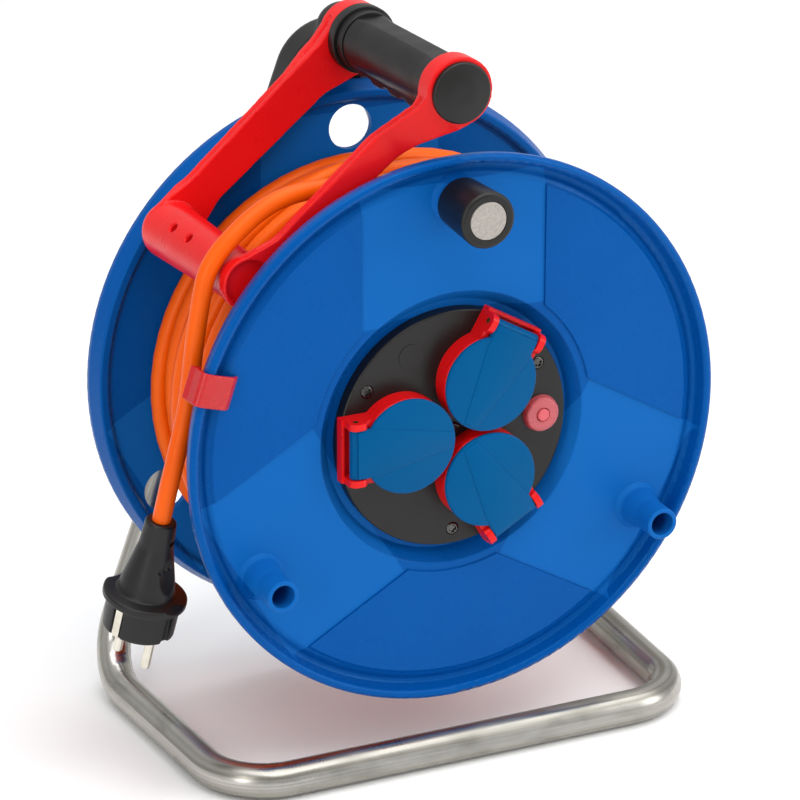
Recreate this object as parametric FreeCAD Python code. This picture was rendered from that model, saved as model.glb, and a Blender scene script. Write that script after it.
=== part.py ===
import FreeCAD, Part
import math
import os

"""Cable reel on a bent steel tube stand, with three lidded sockets in the drum's front.

Millimetres, +Z up, floor at Z = 0. The drum's axle runs along Y and the front is towards -Y.
Drum pieces are drawn about the axle, with Y = 0 at the front rim, and placed at the end.
Angles on the drum are measured from +X towards +Z, as seen from the front.
"""

Vector = FreeCAD.Vector

# Driving sizes of the drum
DRUM_R = 145.0
DRUM_WIDTH = 137.0
WEB = 3.5
FACE_DEPTH = 6.0
SECTOR_RISE = 1.0
STRIP_HALF = 50.5
RIM_BEAD = 4.4
GROOVE_DEPTH = 4.2
GROOVE_INNER_R = DRUM_R - 12.0
GROOVE_FLOOR_R = DRUM_R - 6.5
RIM_BACK_DEPTH = 12.6
BARREL_R = 73.0
BARREL_WALL = 2.8
BAY_R = BARREL_R - 0.4
BAY_FLOOR_R = BARREL_R - 6.5
BAY_DEPTH = 13.0
LEDGE_INNER_R = 51.2
FIT_GAP = 0.3
ARM_ANGLES = (90.0, 210.0, 330.0)
CRANK_R = DRUM_R - 23.0
BOSS_TIP_R = 8.35
BOSS_ROOT_R = 10.4
BOSS_CONE = 14.0
BOSS_BORE_R = 6.0
BOSS_LENGTH = 28.0
REAR_HOLE_R = 12.0
POST_R = 4.6
POST_WEB_HALF = 1.3
POST_PILOT_R = 1.7
PILOT_DEPTH = 24.0
DRUM_SCREW_HEAD_R = 4.2
DRUM_SCREW_HEAD = 2.6
HUB_R = 19.0
HUB_REAR = DRUM_WIDTH - 3.0
RIB_WALL = 2.6
SPIGOT_DEPTH = 9.5

# Sockets, their lids and the plate
PLATE_R = BAY_FLOOR_R - 3.7
PLATE_FACE = 6.0
PLATE_WALL = 2.6
POST_CIRCLE_R = (LEDGE_INNER_R + PLATE_R - PLATE_WALL) / 2
SOCKET_CIRCLE_R = 29.8
SOCKET_ANGLES = {"a": 180.0, "b": 60.0, "c": -60.0}
COLLAR_R = 24.6
COLLAR_FRONT = -4.4
SOCKET_BODY_R = 21.0
SOCKET_REAR = 46.0
HUB_FRONT = SOCKET_REAR + 20.0
CARRIER_FRONT = 22.0
CARRIER_WALL = 3.0
CARRIER_POST_R = 4.6
CAVITY_R = 19.8
CAVITY_DEPTH = 18.0
CONTACT_SPACING = 19.0
CONTACT_HOLE_R = 2.75
CONTACT_BUSH_WALL = 0.6
LID_R = 25.0
LID_WALL = 2.7
LID_PANEL_RISE = 0.4
LID_PANEL_HINGE_HALF = 12.4
LID_PANEL_TIP_HALF = 4.0
TONGUE_HALF = 13.0
HINGE_OFFSET = 28.2
HINGE_DEPTH = -3.6
HINGE_BARREL_R = 3.2
PIN_R = 1.5
RUN_GAP = 0.05
EAR_WALL = 3.5
EAR_GAP = 0.3
EAR_R = 4.3
PLATE_SCREW_CIRCLE_R = 54.6
PLATE_SCREW_ANGLES = (30.0, 150.0, 270.0)
SCREW_HEAD_R = 3.3
SCREW_SHANK_R = 1.5
BREAKER_R = 49.0
BREAKER_HEAD_R = 8.0
BREAKER_HALF = 9.5
BREAKER_SIDE = 8.4
BREAKER_REAR = 34.0
STEM_R = 2.0
COVER_R = 9.7
COVER_RISE = 3.6
COVER_WALL = 1.2
BUTTON_R = 3.3
BUTTON_TRAVEL = 2.0

# Crank knob
KNOB_R = 14.5
KNOB_ROOT_R = 13.0
KNOB_ROOT = -1.5
KNOB_FRONT = -32.0
KNOB_DISC_R = 9.8
KNOB_DISC_WALL = 1.5

# Stand, axle and bracket
TUBE_R = 9.0
TUBE_WALL = 1.5
AXLE_Z = DRUM_R + 31.5
FOOT_FRONT_OUT = 9.5
FOOT_FRONT_HALF = 128.5
FOOT_REAR_HALF = 135.5
BRACKET_FRONT = DRUM_WIDTH + 2.8
BRACKET_WALL = 10.2
LEG_Y = BRACKET_FRONT + BRACKET_WALL
LEG_TOP = DRUM_R + 7.0
LEG_TOP_HALF = 17.5
BEND_R = 33.0
AXLE_R = 12.0
AXLE_WALL = 2.5
AXLE_REAR = LEG_Y + 3.0
BRACKET_HALF_HEIGHT = 20.0
CLAMP_REAR = LEG_Y + TUBE_R + 1.5
CLAMP_HALF = 19.0
CLAMP_SPAN = 3 * CLAMP_HALF

# Handle and red guide frame
GRIP_Z = DRUM_R + 33.0
HANDLE_DIP = 2.4
GRIP_R = 15.3
GRIP_FRONT = 12.0
GRIP_REAR = DRUM_WIDTH - 33.0
FINGERS = 4
CAP_R = 15.4
CAP_DOME = 4.0
RING_WALL = 12.0
RING_R = 17.5
SPIGOT_R = 13.5
CORE_R = 7.0
CORE_WALL = 1.5
COLLAR_STEP = 12.0
HOUSING_FRONT = DRUM_WIDTH + 1.8
HOUSING_REAR = LEG_Y + TUBE_R + 2.4
HOUSING_BOTTOM = DRUM_R - 12.0
HOUSING_SIDE = 11.6
HOUSING_CROWN_R = 30.4
HOUSING_SCREW_Z = HOUSING_BOTTOM + 13.0
HOUSING_SCREW_R = 1.9
BOSS_REAR = DRUM_WIDTH + 10.0
CORE_REAR = DRUM_WIDTH + 2.5
BAR_X = -0.7324 * DRUM_R
BAR_Z = 0.6297 * DRUM_R
BAR_FRONT_R = 12.4
BAR_REAR_R = 15.2
BAR_FRONT = 17.6
BAR_REAR = DRUM_WIDTH - 12.4
ARM_END_R = 13.8
ARM_WALL = 8.0
ARM_END_WALL = 6.1
PARK_HOLES = (71.5, 90.0)
PARK_ANGLE = 133.0
PARK_HOLE_R = 2.6
PARK_HOLE_DEPTH = 21.0

# Cord
CORD_D = 9.6
LAYER_R = 0.731 * DRUM_R
LAYER_TURNS = 10
LAYER_START = 130.0
CORE_GAP = 0.8
ANCHOR_ANGLE = 270.0
ANCHOR_DEPTH = 72.0
CORD_SIDE_GAP = 0.45

# Plug
PLUG_BODY_R = 18.7
PLUG_COLLAR_R = 21.3
PLUG_LENGTH = 62.3
PLUG_TURN = -63.5
PLUG_BACK = 10.0
PLUG_LEAN = 8.8
PLUG_PIN_R = 2.4
PLUG_PIN_LENGTH = 19.0

# Cable clip on the front rim
CLIP_ANGLE = 161.5
CLIP_WIDTH = 17.0
CLIP_WALL = 1.8

FRONT_Y = -65.0
DRUM_PLACE = Vector(0, FRONT_Y, AXLE_Z)
AXIS = Vector(0, 1, 0)
ORIGIN = Vector(0, 0, 0)

parts = {}


def polar(radius, angle, y=0.0):
    a = math.radians(angle)
    return Vector(radius * math.cos(a), y, radius * math.sin(a))


def rounded_edges(points, radii, closed=False):
    """Straight runs joined by tangent arcs; a radius of 0 leaves a sharp corner."""
    count = len(points)
    entries, exits, arcs = [], [], []
    for i, point in enumerate(points):
        radius = radii[i]
        if radius <= 0 or (not closed and i in (0, count - 1)):
            entries.append(point)
            exits.append(point)
            arcs.append(None)
            continue
        back = (points[i - 1] - point).normalize()
        ahead = (points[(i + 1) % count] - point).normalize()
        half = 0.5 * back.getAngle(ahead)
        reach = radius / math.tan(half)
        bisector = (back + ahead).normalize()
        centre = point + bisector * (radius / math.sin(half))
        entries.append(point + back * reach)
        exits.append(point + ahead * reach)
        arcs.append(centre - bisector * radius)
    edges = []
    for i in range(count):
        if arcs[i] is not None:
            edges.append(Part.Arc(entries[i], arcs[i], exits[i]).toShape())
        if i < count - 1 or closed:
            end = entries[(i + 1) % count]
            if (end - exits[i]).Length > 1e-6:
                edges.append(Part.LineSegment(exits[i], end).toShape())
    return edges


def outline_face(corners, place):
    """A face from (a, b, radius) corners, where place(a, b) gives the corner in space."""
    points = [place(c[0], c[1]) for c in corners]
    radii = [c[2] if len(c) > 2 else 0 for c in corners]
    return Part.Face(Part.Wire(rounded_edges(points, radii, closed=True)))


def lathe(corners, x=0.0, z=0.0):
    """Turn (radius, y, corner radius) corners about an axis along Y through x, z."""
    face = outline_face(corners, lambda r, y: Vector(x + r, y, z))
    return face.revolve(Vector(x, 0, z), AXIS, 360)


def rod(radius, y0, y1, x=0.0, z=0.0):
    return Part.makeCylinder(radius, y1 - y0, Vector(x, y0, z), AXIS)


def tube(outer, inner, y0, y1, x=0.0, z=0.0):
    return rod(outer, y0, y1, x, z).cut(rod(inner, y0 - 1, y1 + 1, x, z))


def slab(corners, y0, y1):
    """Extrude (x, z, corner radius) corners from y0 to y1."""
    face = outline_face(corners, lambda x, z: Vector(x, y0, z))
    return face.extrude(Vector(0, y1 - y0, 0))


def block(x0, x1, y0, y1, z0, z1):
    return Part.makeBox(x1 - x0, y1 - y0, z1 - z0, Vector(x0, y0, z0))


def at_angle(shape, angle):
    """Carry a piece drawn at angle 0, on the +X side of the axle, round to an angle."""
    turned = shape.copy()
    turned.rotate(ORIGIN, Vector(0, -1, 0), angle)
    return turned


def fused(shapes):
    whole = shapes[0].fuse(shapes[1:]) if len(shapes) > 1 else shapes[0]
    return whole.removeSplitter()


def keep(name, shape, on_drum=True):
    """Store a node; pieces drawn about the axle are carried to their place."""
    placed = shape.copy()
    if on_drum:
        placed.translate(DRUM_PLACE)
    parts[name] = placed


def flange_rim(mirror):
    """The dished web with its coved groove and rounded rim, as lathe corners."""
    groove = FACE_DEPTH + GROOVE_DEPTH
    corners = [
        (GROOVE_INNER_R, FACE_DEPTH, 5.0),
        (GROOVE_FLOOR_R, groove, 2.4),
        (DRUM_R - RIM_BEAD, 0.0, RIM_BEAD / 2 - 0.1),
        (DRUM_R, 0.0, RIM_BEAD / 2 - 0.1),
        (DRUM_R, RIM_BEAD, 2.0),
        (DRUM_R - 3.2, RIM_BACK_DEPTH, 1.6),
        (GROOVE_FLOOR_R - 1.0, RIM_BACK_DEPTH, 2.0),
        (GROOVE_FLOOR_R - 3.0, FACE_DEPTH + WEB, 2.0),
    ]
    if mirror:
        return [(r, DRUM_WIDTH - y, c) for r, y, c in corners]
    return corners


def raised_sectors(face_y, rise):
    """The three broad sectors that stand proud between the strips."""
    inner, outer = BAY_R + 3.6, GROOVE_INNER_R - 0.5
    plate = lathe([(inner, face_y + rise * 0.2), (inner + 0.8, face_y - rise),
                   (outer - 1.6, face_y - rise), (outer, face_y + rise * 0.2)])
    cuts = [at_angle(block(0, DRUM_R, face_y - 9, face_y + 9, -STRIP_HALF, STRIP_HALF), a)
            for a in ARM_ANGLES]
    return plate.cut(fused(cuts))


def boss(y_face):
    """A hollow stub for the crank, with a flared foot, drawn at angle 0."""
    tip = y_face - BOSS_LENGTH
    return lathe([(BOSS_BORE_R, tip, 0.6), (BOSS_TIP_R, tip, 0.8),
                  (BOSS_TIP_R, y_face - BOSS_CONE), (BOSS_ROOT_R, y_face - 2.5, 2.5),
                  (BOSS_ROOT_R + 2.6, y_face + 0.5), (BOSS_BORE_R, y_face + 0.5)], x=CRANK_R)


def spoke(radius, r0, r1):
    """A rod pointing outwards from the axle where the cord leaves the barrel."""
    out = polar(1.0, ANCHOR_ANGLE)
    return Part.makeCylinder(radius, r1 - r0, out * r0 + Vector(0, ANCHOR_DEPTH, 0), out)


def front_flange():
    web_back = FACE_DEPTH + WEB
    body = lathe([(LEDGE_INNER_R, BAY_DEPTH), (BAY_FLOOR_R, BAY_DEPTH, 0.8),
                  (BAY_R, FACE_DEPTH, 1.2)] + flange_rim(False)
                 + [(BARREL_R - BARREL_WALL - FIT_GAP, web_back),
                    (BARREL_R - BARREL_WALL - FIT_GAP, BAY_DEPTH + WEB, 0.8),
                    (LEDGE_INNER_R, BAY_DEPTH + WEB)])
    adds = [raised_sectors(FACE_DEPTH, SECTOR_RISE)]
    adds += [at_angle(boss(FACE_DEPTH), a) for a in ARM_ANGLES]
    body = fused([body] + adds)
    cuts = [at_angle(rod(BOSS_BORE_R, FACE_DEPTH - BOSS_LENGTH - 1, FACE_DEPTH - 0.5, CRANK_R), a)
            for a in ARM_ANGLES]
    cuts += [at_angle(rod(POST_PILOT_R + 0.4, BAY_DEPTH - 1, BAY_DEPTH + WEB + 1, POST_CIRCLE_R), a)
             for a in ARM_ANGLES]
    cuts += [at_angle(rod(SCREW_SHANK_R, BAY_DEPTH - 1, BAY_DEPTH + WEB + 1, PLATE_SCREW_CIRCLE_R), a)
             for a in PLATE_SCREW_ANGLES]
    cuts.append(block(LEDGE_INNER_R - 5, BREAKER_R + BREAKER_HALF + 2.5, BAY_DEPTH - 1, BAY_DEPTH + WEB + 1,
                      -BREAKER_SIDE - 1.6, BREAKER_SIDE + 1.6))
    keep("front_flange", body.cut(fused(cuts)))


def drum_barrel():
    """The barrel with three screw posts inside, each tied to the wall by a web."""
    web_back = FACE_DEPTH + WEB
    inner = BARREL_R - BARREL_WALL
    post_front, post_rear = BAY_DEPTH + WEB, DRUM_WIDTH - web_back
    wall = tube(BARREL_R, inner, web_back, DRUM_WIDTH - web_back)
    post = fused([rod(POST_R, post_front, post_rear, POST_CIRCLE_R),
                  block(POST_CIRCLE_R, inner + BARREL_WALL / 2, post_front + 0.5,
                        post_rear - SPIGOT_DEPTH - 0.5, -POST_WEB_HALF, POST_WEB_HALF)])
    body = fused([wall] + [at_angle(post, a) for a in ARM_ANGLES])
    cuts = [spoke(CORD_D / 2 + 0.4, BARREL_R - 10.0, BARREL_R + 10.0)]
    for a in ARM_ANGLES:
        cuts.append(at_angle(rod(POST_PILOT_R, post_front - 1, post_front + PILOT_DEPTH, POST_CIRCLE_R), a))
        cuts.append(at_angle(rod(POST_PILOT_R, post_rear - PILOT_DEPTH, post_rear + 1, POST_CIRCLE_R), a))
    keep("drum_barrel", body.cut(fused(cuts)))


def rear_flange():
    web_front = DRUM_WIDTH - FACE_DEPTH - WEB
    web_rear = DRUM_WIDTH - FACE_DEPTH
    spigot = BARREL_R - BARREL_WALL - FIT_GAP
    body = lathe([(AXLE_R + RUN_GAP, HUB_FRONT, 0.6), (HUB_R, HUB_FRONT, 1.0),
                  (HUB_R + 1.0, web_front, 1.5), (spigot - WEB, web_front, 0.8),
                  (spigot - WEB, web_front - SPIGOT_DEPTH), (spigot, web_front - SPIGOT_DEPTH, 0.8),
                  (spigot, web_front)]
                 + flange_rim(True)[::-1]
                 + [(HUB_R + 6.0, web_rear, 3.0), (HUB_R + 3.0, HUB_REAR, 1.0),
                    (AXLE_R + RUN_GAP, HUB_REAR, 0.6)])
    rib_front = web_front - 22.0
    rib = slab([(HUB_R - 1.5, -RIB_WALL / 2), (spigot - WEB / 2, -RIB_WALL / 2),
                (spigot - WEB / 2, RIB_WALL / 2), (HUB_R - 1.5, RIB_WALL / 2)],
               rib_front, web_front + 0.5)
    slope = lathe([(HUB_R + 4, rib_front - 1), (spigot + 2, rib_front - 1),
                   (spigot + 2, web_front - SPIGOT_DEPTH)])
    ribs = [at_angle(rib, a).cut(slope) for a in range(0, 360, 60)]
    sectors = raised_sectors(0, SECTOR_RISE)
    sectors = sectors.mirror(ORIGIN, AXIS)
    sectors.translate(Vector(0, web_rear, 0))
    body = fused([body, sectors] + ribs)
    cuts = [at_angle(rod(REAR_HOLE_R, web_front - 9, web_rear + 9, CRANK_R), a)
            for a in ARM_ANGLES]
    cuts += [at_angle(rod(POST_PILOT_R + 0.4, web_front - 1, web_rear + 1, POST_CIRCLE_R), a)
             for a in ARM_ANGLES]
    keep("rear_flange", body.cut(fused(cuts)))


def pan_screw(head_r, head_h, shank_r, length, y_seat, direction, x=0.0, z=0.0):
    """A cross-recess screw whose head seats at y_seat; direction +1 drives towards +Y."""
    head = lathe([(0, 0), (head_r, 0, 0), (head_r, -head_h, head_h * 0.6), (0, -head_h)])
    shank = rod(shank_r, -0.01, length)
    slot_w, slot_l = head_r * 0.28, head_r * 0.62
    slots = fused([block(-slot_l, slot_l, -head_h - 1, -head_h * 0.45, -slot_w, slot_w),
                   block(-slot_w, slot_w, -head_h - 1, -head_h * 0.45, -slot_l, slot_l)])
    screw = fused([head, shank]).cut(slots)
    if direction < 0:
        screw.rotate(ORIGIN, Vector(0, 0, 1), 180)
    screw.translate(Vector(x, y_seat, z))
    return screw


def drum_screws():
    """Three screws from behind through the rear flange and three through the front one's ledge."""
    length = WEB + PILOT_DEPTH - 4.0
    screws = []
    for seat, direction in ((DRUM_WIDTH - FACE_DEPTH, -1), (BAY_DEPTH, 1)):
        one = pan_screw(DRUM_SCREW_HEAD_R, DRUM_SCREW_HEAD, POST_PILOT_R, length, seat, direction, POST_CIRCLE_R)
        screws += [at_angle(one, a) for a in ARM_ANGLES]
    keep("drum_screws", Part.makeCompound(screws))


def socket_plate():
    body = lathe([(0, PLATE_FACE), (PLATE_R, PLATE_FACE, 1.0), (PLATE_R, BAY_DEPTH),
                  (PLATE_R - PLATE_WALL, BAY_DEPTH),
                  (PLATE_R - PLATE_WALL, PLATE_FACE + PLATE_WALL, 0.6), (0, PLATE_FACE + PLATE_WALL)])
    pillars = [at_angle(rod(SCREW_HEAD_R + 0.3, PLATE_FACE + 1, BAY_DEPTH, PLATE_SCREW_CIRCLE_R), a)
               for a in PLATE_SCREW_ANGLES]
    body = fused([body] + pillars)
    cuts = [at_angle(rod(SOCKET_BODY_R + 0.1, 0, BAY_DEPTH + 1, SOCKET_CIRCLE_R), a)
            for a in SOCKET_ANGLES.values()]
    cuts += [at_angle(rod(SCREW_SHANK_R, 0, BAY_DEPTH + 1, PLATE_SCREW_CIRCLE_R), a)
             for a in PLATE_SCREW_ANGLES]
    cuts += [at_angle(rod(SCREW_HEAD_R + 0.2, 0, PLATE_FACE + 1.2, PLATE_SCREW_CIRCLE_R), a)
             for a in PLATE_SCREW_ANGLES]
    cuts += [rod(SCREW_SHANK_R, 0, BAY_DEPTH + 1), rod(BREAKER_HEAD_R + 0.1, 0, BAY_DEPTH, BREAKER_R)]
    keep("socket_plate", body.cut(fused(cuts)))


def plate_screws():
    seat = PLATE_FACE + 1.2
    screws = [at_angle(pan_screw(SCREW_HEAD_R, 1.7, SCREW_SHANK_R, 9.0, seat, 1,
                                 PLATE_SCREW_CIRCLE_R), a) for a in PLATE_SCREW_ANGLES]
    screws.append(pan_screw(SCREW_HEAD_R, 1.7, SCREW_SHANK_R, 10.0, PLATE_FACE, 1))
    keep("plate_screws", Part.makeCompound(screws))


def socket_carrier():
    front, rear = CARRIER_FRONT, CARRIER_FRONT + CARRIER_WALL
    body = fused([rod(LEDGE_INNER_R - 0.6, front, rear),
                  rod(CARRIER_POST_R, PLATE_FACE + PLATE_WALL, front + 1)])
    cuts = [at_angle(rod(SOCKET_BODY_R, front - 1, rear + 1, SOCKET_CIRCLE_R), a)
            for a in SOCKET_ANGLES.values()]
    cuts += [at_angle(rod(SOCKET_BODY_R + 0.1, 0, front, SOCKET_CIRCLE_R), a)
             for a in SOCKET_ANGLES.values()]
    cuts += [rod(SCREW_SHANK_R, 0, front - 2.0),
             block(BREAKER_R - BREAKER_HALF - 0.6, BREAKER_R + BREAKER_HALF + 3.0, 0, rear + 1,
                   -BREAKER_SIDE - 0.6, BREAKER_SIDE + 0.6)]
    keep("socket_carrier", body.cut(fused(cuts)))


def hinge_block():
    """The ears and low back wall that carry a lid's pin, drawn about the socket's centre."""
    outer = TONGUE_HALF + EAR_GAP + EAR_WALL
    reach = HINGE_OFFSET + EAR_R + 1.4
    base = block(COLLAR_R - 6, reach, PLATE_FACE - 2.6, PLATE_FACE, -outer, outer)
    wall = block(reach - 1.6, reach, PLATE_FACE - 5.2, PLATE_FACE, -outer, outer)
    face = outline_face([(COLLAR_R - 7, PLATE_FACE), (COLLAR_R - 7, COLLAR_FRONT),
                         (COLLAR_R - 2.2, COLLAR_FRONT),
                         (HINGE_OFFSET - EAR_R, HINGE_DEPTH - EAR_R, 3.9),
                         (HINGE_OFFSET + EAR_R, HINGE_DEPTH - EAR_R, 3.9),
                         (HINGE_OFFSET + EAR_R, PLATE_FACE)],
                        lambda a, b: Vector(a, b, 0))
    ear = face.extrude(Vector(0, 0, EAR_WALL))
    ears = []
    for start in (TONGUE_HALF + EAR_GAP, -outer):
        one = ear.copy()
        one.translate(Vector(0, 0, start))
        ears.append(one)
    return fused([base, wall] + ears)


def socket_housing(name, angle):
    cavity_floor = COLLAR_FRONT + CAVITY_DEPTH
    body = lathe([(0, cavity_floor), (CAVITY_R, cavity_floor, 0.8), (CAVITY_R, COLLAR_FRONT, 0.5),
                  (COLLAR_R, COLLAR_FRONT, 0.8), (COLLAR_R, PLATE_FACE), (SOCKET_BODY_R, PLATE_FACE),
                  (SOCKET_BODY_R, SOCKET_REAR, 1.2), (0, SOCKET_REAR)])
    body = fused([body, hinge_block()])
    cuts = [rod(CAVITY_R, COLLAR_FRONT - 9, cavity_floor)]
    cuts += [rod(CONTACT_HOLE_R, cavity_floor - 1, SOCKET_REAR - 4, 0, side * CONTACT_SPACING / 2)
             for side in (-1, 1)]
    pin = HINGE_OFFSET
    hole = Part.makeCylinder(PIN_R, 60, Vector(pin, HINGE_DEPTH, -30), Vector(0, 0, 1))
    barrel_room = Part.makeCylinder(HINGE_BARREL_R + 0.3, 2 * (TONGUE_HALF + EAR_GAP),
                                    Vector(pin, HINGE_DEPTH, -TONGUE_HALF - EAR_GAP),
                                    Vector(0, 0, 1))
    body = body.cut(fused(cuts)).cut(hole).cut(barrel_room)
    body.translate(Vector(SOCKET_CIRCLE_R, 0, 0))
    keep("socket_housing_" + name, at_angle(body, angle))


def earth_clips():
    """Two bent brass strips on the walls of each cavity, square to the line of contacts."""
    clips = []
    floor = COLLAR_FRONT + CAVITY_DEPTH
    for angle in SOCKET_ANGLES.values():
        for side in (-1, 1):
            face = outline_face([(CAVITY_R - 0.1, floor), (CAVITY_R - 1.2, floor),
                                 (CAVITY_R - 2.6, floor - 8.0), (CAVITY_R - 1.3, floor - 14.0),
                                 (CAVITY_R - 0.1, floor - 14.0), (CAVITY_R - 1.5, floor - 8.0)],
                                lambda a, b: Vector(a, b, -2.5))
            clip = face.extrude(Vector(0, 0, 5))
            if side < 0:
                clip.rotate(ORIGIN, AXIS, 180)
            clip.translate(Vector(SOCKET_CIRCLE_R, 0, 0))
            clips.append(at_angle(clip, angle))
    keep("earth_clips", Part.makeCompound(clips))


def contact_bushes():
    """The brass sleeves that grip a plug's pins, set into the socket floors."""
    floor = COLLAR_FRONT + CAVITY_DEPTH
    bushes = []
    for angle in SOCKET_ANGLES.values():
        for side in (-1, 1):
            bush = tube(CONTACT_HOLE_R, CONTACT_HOLE_R - CONTACT_BUSH_WALL / 2, floor + 2,
                        floor + 22, SOCKET_CIRCLE_R, side * CONTACT_SPACING / 2)
            bushes.append(at_angle(bush, angle))
    keep("contact_bushes", Part.makeCompound(bushes))


def hinge_pins():
    outer = TONGUE_HALF + EAR_GAP + EAR_WALL
    pins = []
    for angle in SOCKET_ANGLES.values():
        pin = Part.makeCylinder(PIN_R, 2 * outer, Vector(SOCKET_CIRCLE_R + HINGE_OFFSET, HINGE_DEPTH, -outer),
                                Vector(0, 0, 1))
        pins.append(at_angle(pin, angle))
    keep("hinge_pins", Part.makeCompound(pins))


SPRING_HALF = 4.0
SPRING_WIRE_R = 0.35
SPRING_R = 2.15
SPRING_TURNS = 5


def lid(name, angle):
    front = COLLAR_FRONT - 0.3 - LID_WALL
    rear = COLLAR_FRONT - 0.3
    disc = lathe([(0, front), (LID_R, front, 1.1), (LID_R, rear, 0.3), (0, rear)])
    tongue = block(LID_R - 9, HINGE_OFFSET, front, rear, -TONGUE_HALF, TONGUE_HALF)
    half_barrel = Part.makeCylinder(HINGE_BARREL_R, 2 * TONGUE_HALF,
                                    Vector(HINGE_OFFSET, HINGE_DEPTH, -TONGUE_HALF), Vector(0, 0, 1))
    corner = block(HINGE_OFFSET - 2.8, HINGE_OFFSET, rear - 1, HINGE_DEPTH, -TONGUE_HALF, TONGUE_HALF)
    panel = slab([(-LID_R + 1.4, -LID_PANEL_TIP_HALF), (LID_R - 8, -LID_PANEL_HINGE_HALF),
                  (HINGE_OFFSET, -LID_PANEL_HINGE_HALF), (HINGE_OFFSET, LID_PANEL_HINGE_HALF),
                  (LID_R - 8, LID_PANEL_HINGE_HALF), (-LID_R + 1.4, LID_PANEL_TIP_HALF)],
                 front - LID_PANEL_RISE, front + 0.5)
    body = fused([disc, tongue, half_barrel, corner, panel])
    bore = Part.makeCylinder(PIN_R + RUN_GAP, 60, Vector(HINGE_OFFSET, HINGE_DEPTH, -30),
                             Vector(0, 0, 1))
    room = Part.makeCylinder(HINGE_BARREL_R - 0.3, 2 * SPRING_HALF,
                             Vector(HINGE_OFFSET, HINGE_DEPTH, -SPRING_HALF), Vector(0, 0, 1))
    body = body.cut(bore).cut(room)
    body.translate(Vector(SOCKET_CIRCLE_R, 0, 0))
    keep("lid_" + name, at_angle(body, angle))


def arc_by_tangents(start, start_dir, end, end_dir):
    """Two arcs that leave start along start_dir and reach end along end_dir."""
    v = end - start
    t = start_dir + end_dir
    vt = v.dot(t)
    dd = 2 * (1 - start_dir.dot(end_dir))
    d = (-vt + math.sqrt(vt * vt + dd * v.dot(v))) / dd
    joint = (start + start_dir * d + end - end_dir * d) * 0.5
    edges = []
    for a, ta, b in ((start, start_dir, joint), (end, end_dir * -1, joint)):
        chord = b - a
        normal = chord - ta * chord.dot(ta)
        n = Vector(normal).normalize()
        radius = chord.dot(chord) / (2 * chord.dot(n))
        centre = a + n * radius
        out = (a + b) * 0.5 - centre
        middle = centre + out.normalize() * abs(radius)
        edges.append((a, middle, b))
    first = Part.Arc(*edges[0]).toShape()
    second = Part.Arc(edges[1][2], edges[1][1], edges[1][0]).toShape()
    return [first, second]


def wound_edges(points, tangents):
    edges = []
    for i in range(len(points) - 1):
        edges += arc_by_tangents(points[i], tangents[i], points[i + 1], tangents[i + 1])
    return edges


def swept(edges, radius, direction):
    """A round tube along a smooth chain of edges."""
    wire = Part.Wire(edges)
    start = edges[0].Vertexes[0].Point
    ring = Part.Wire(Part.Circle(start, direction, radius).toShape())
    return wire.makePipeShell([ring], True, False)


def lid_springs():
    springs = []
    pitch = 2 * (SPRING_HALF - 0.6) / SPRING_TURNS
    for angle in SOCKET_ANGLES.values():
        points, tangents = [], []
        for k in range(SPRING_TURNS * 2 + 1):
            a = math.pi * k
            points.append(Vector(SPRING_R * math.cos(a), SPRING_R * math.sin(a),
                                 -SPRING_HALF + 0.6 + pitch * k / 2))
            rise = pitch / (2 * math.pi)
            tangents.append(Vector(-SPRING_R * math.sin(a), SPRING_R * math.cos(a), rise).normalize())
        coil = swept(wound_edges(points, tangents), SPRING_WIRE_R, tangents[0])
        coil.translate(Vector(SOCKET_CIRCLE_R + HINGE_OFFSET, HINGE_DEPTH, 0))
        springs.append(at_angle(coil, angle))
    keep("lid_springs", Part.makeCompound(springs))


def breaker():
    head = rod(BREAKER_HEAD_R, PLATE_FACE, PLATE_FACE + PLATE_WALL + 1, BREAKER_R)
    case = block(BREAKER_R - BREAKER_HALF, BREAKER_R + BREAKER_HALF, PLATE_FACE + PLATE_WALL, BREAKER_REAR,
                 -BREAKER_SIDE, BREAKER_SIDE)
    stem_room = rod(BUTTON_R + 0.3, 0, PLATE_FACE + 2.6, BREAKER_R)
    stem_bore = rod(STEM_R + 0.3, 0, 20.0, BREAKER_R)
    keep("breaker_body", fused([head, case]).cut(fused([stem_room, stem_bore])))
    top = PLATE_FACE - COVER_RISE
    keep("button_cover", lathe([(BUTTON_R + 0.4, top, 0.3), (COVER_R - 0.8, top, 1.4),
                                (COVER_R, PLATE_FACE), (BREAKER_HEAD_R + 0.2, PLATE_FACE),
                                (BREAKER_HEAD_R - 0.6, top + COVER_WALL),
                                (BUTTON_R + 0.4, top + COVER_WALL)], x=BREAKER_R))
    keep("reset_button", lathe([(0, top - 0.9), (BUTTON_R, top - 0.9, 1.0),
                                (BUTTON_R, PLATE_FACE + 0.2), (STEM_R, PLATE_FACE + 0.2),
                                (STEM_R, 15.0), (0, 15.0)], x=BREAKER_R))


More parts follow.
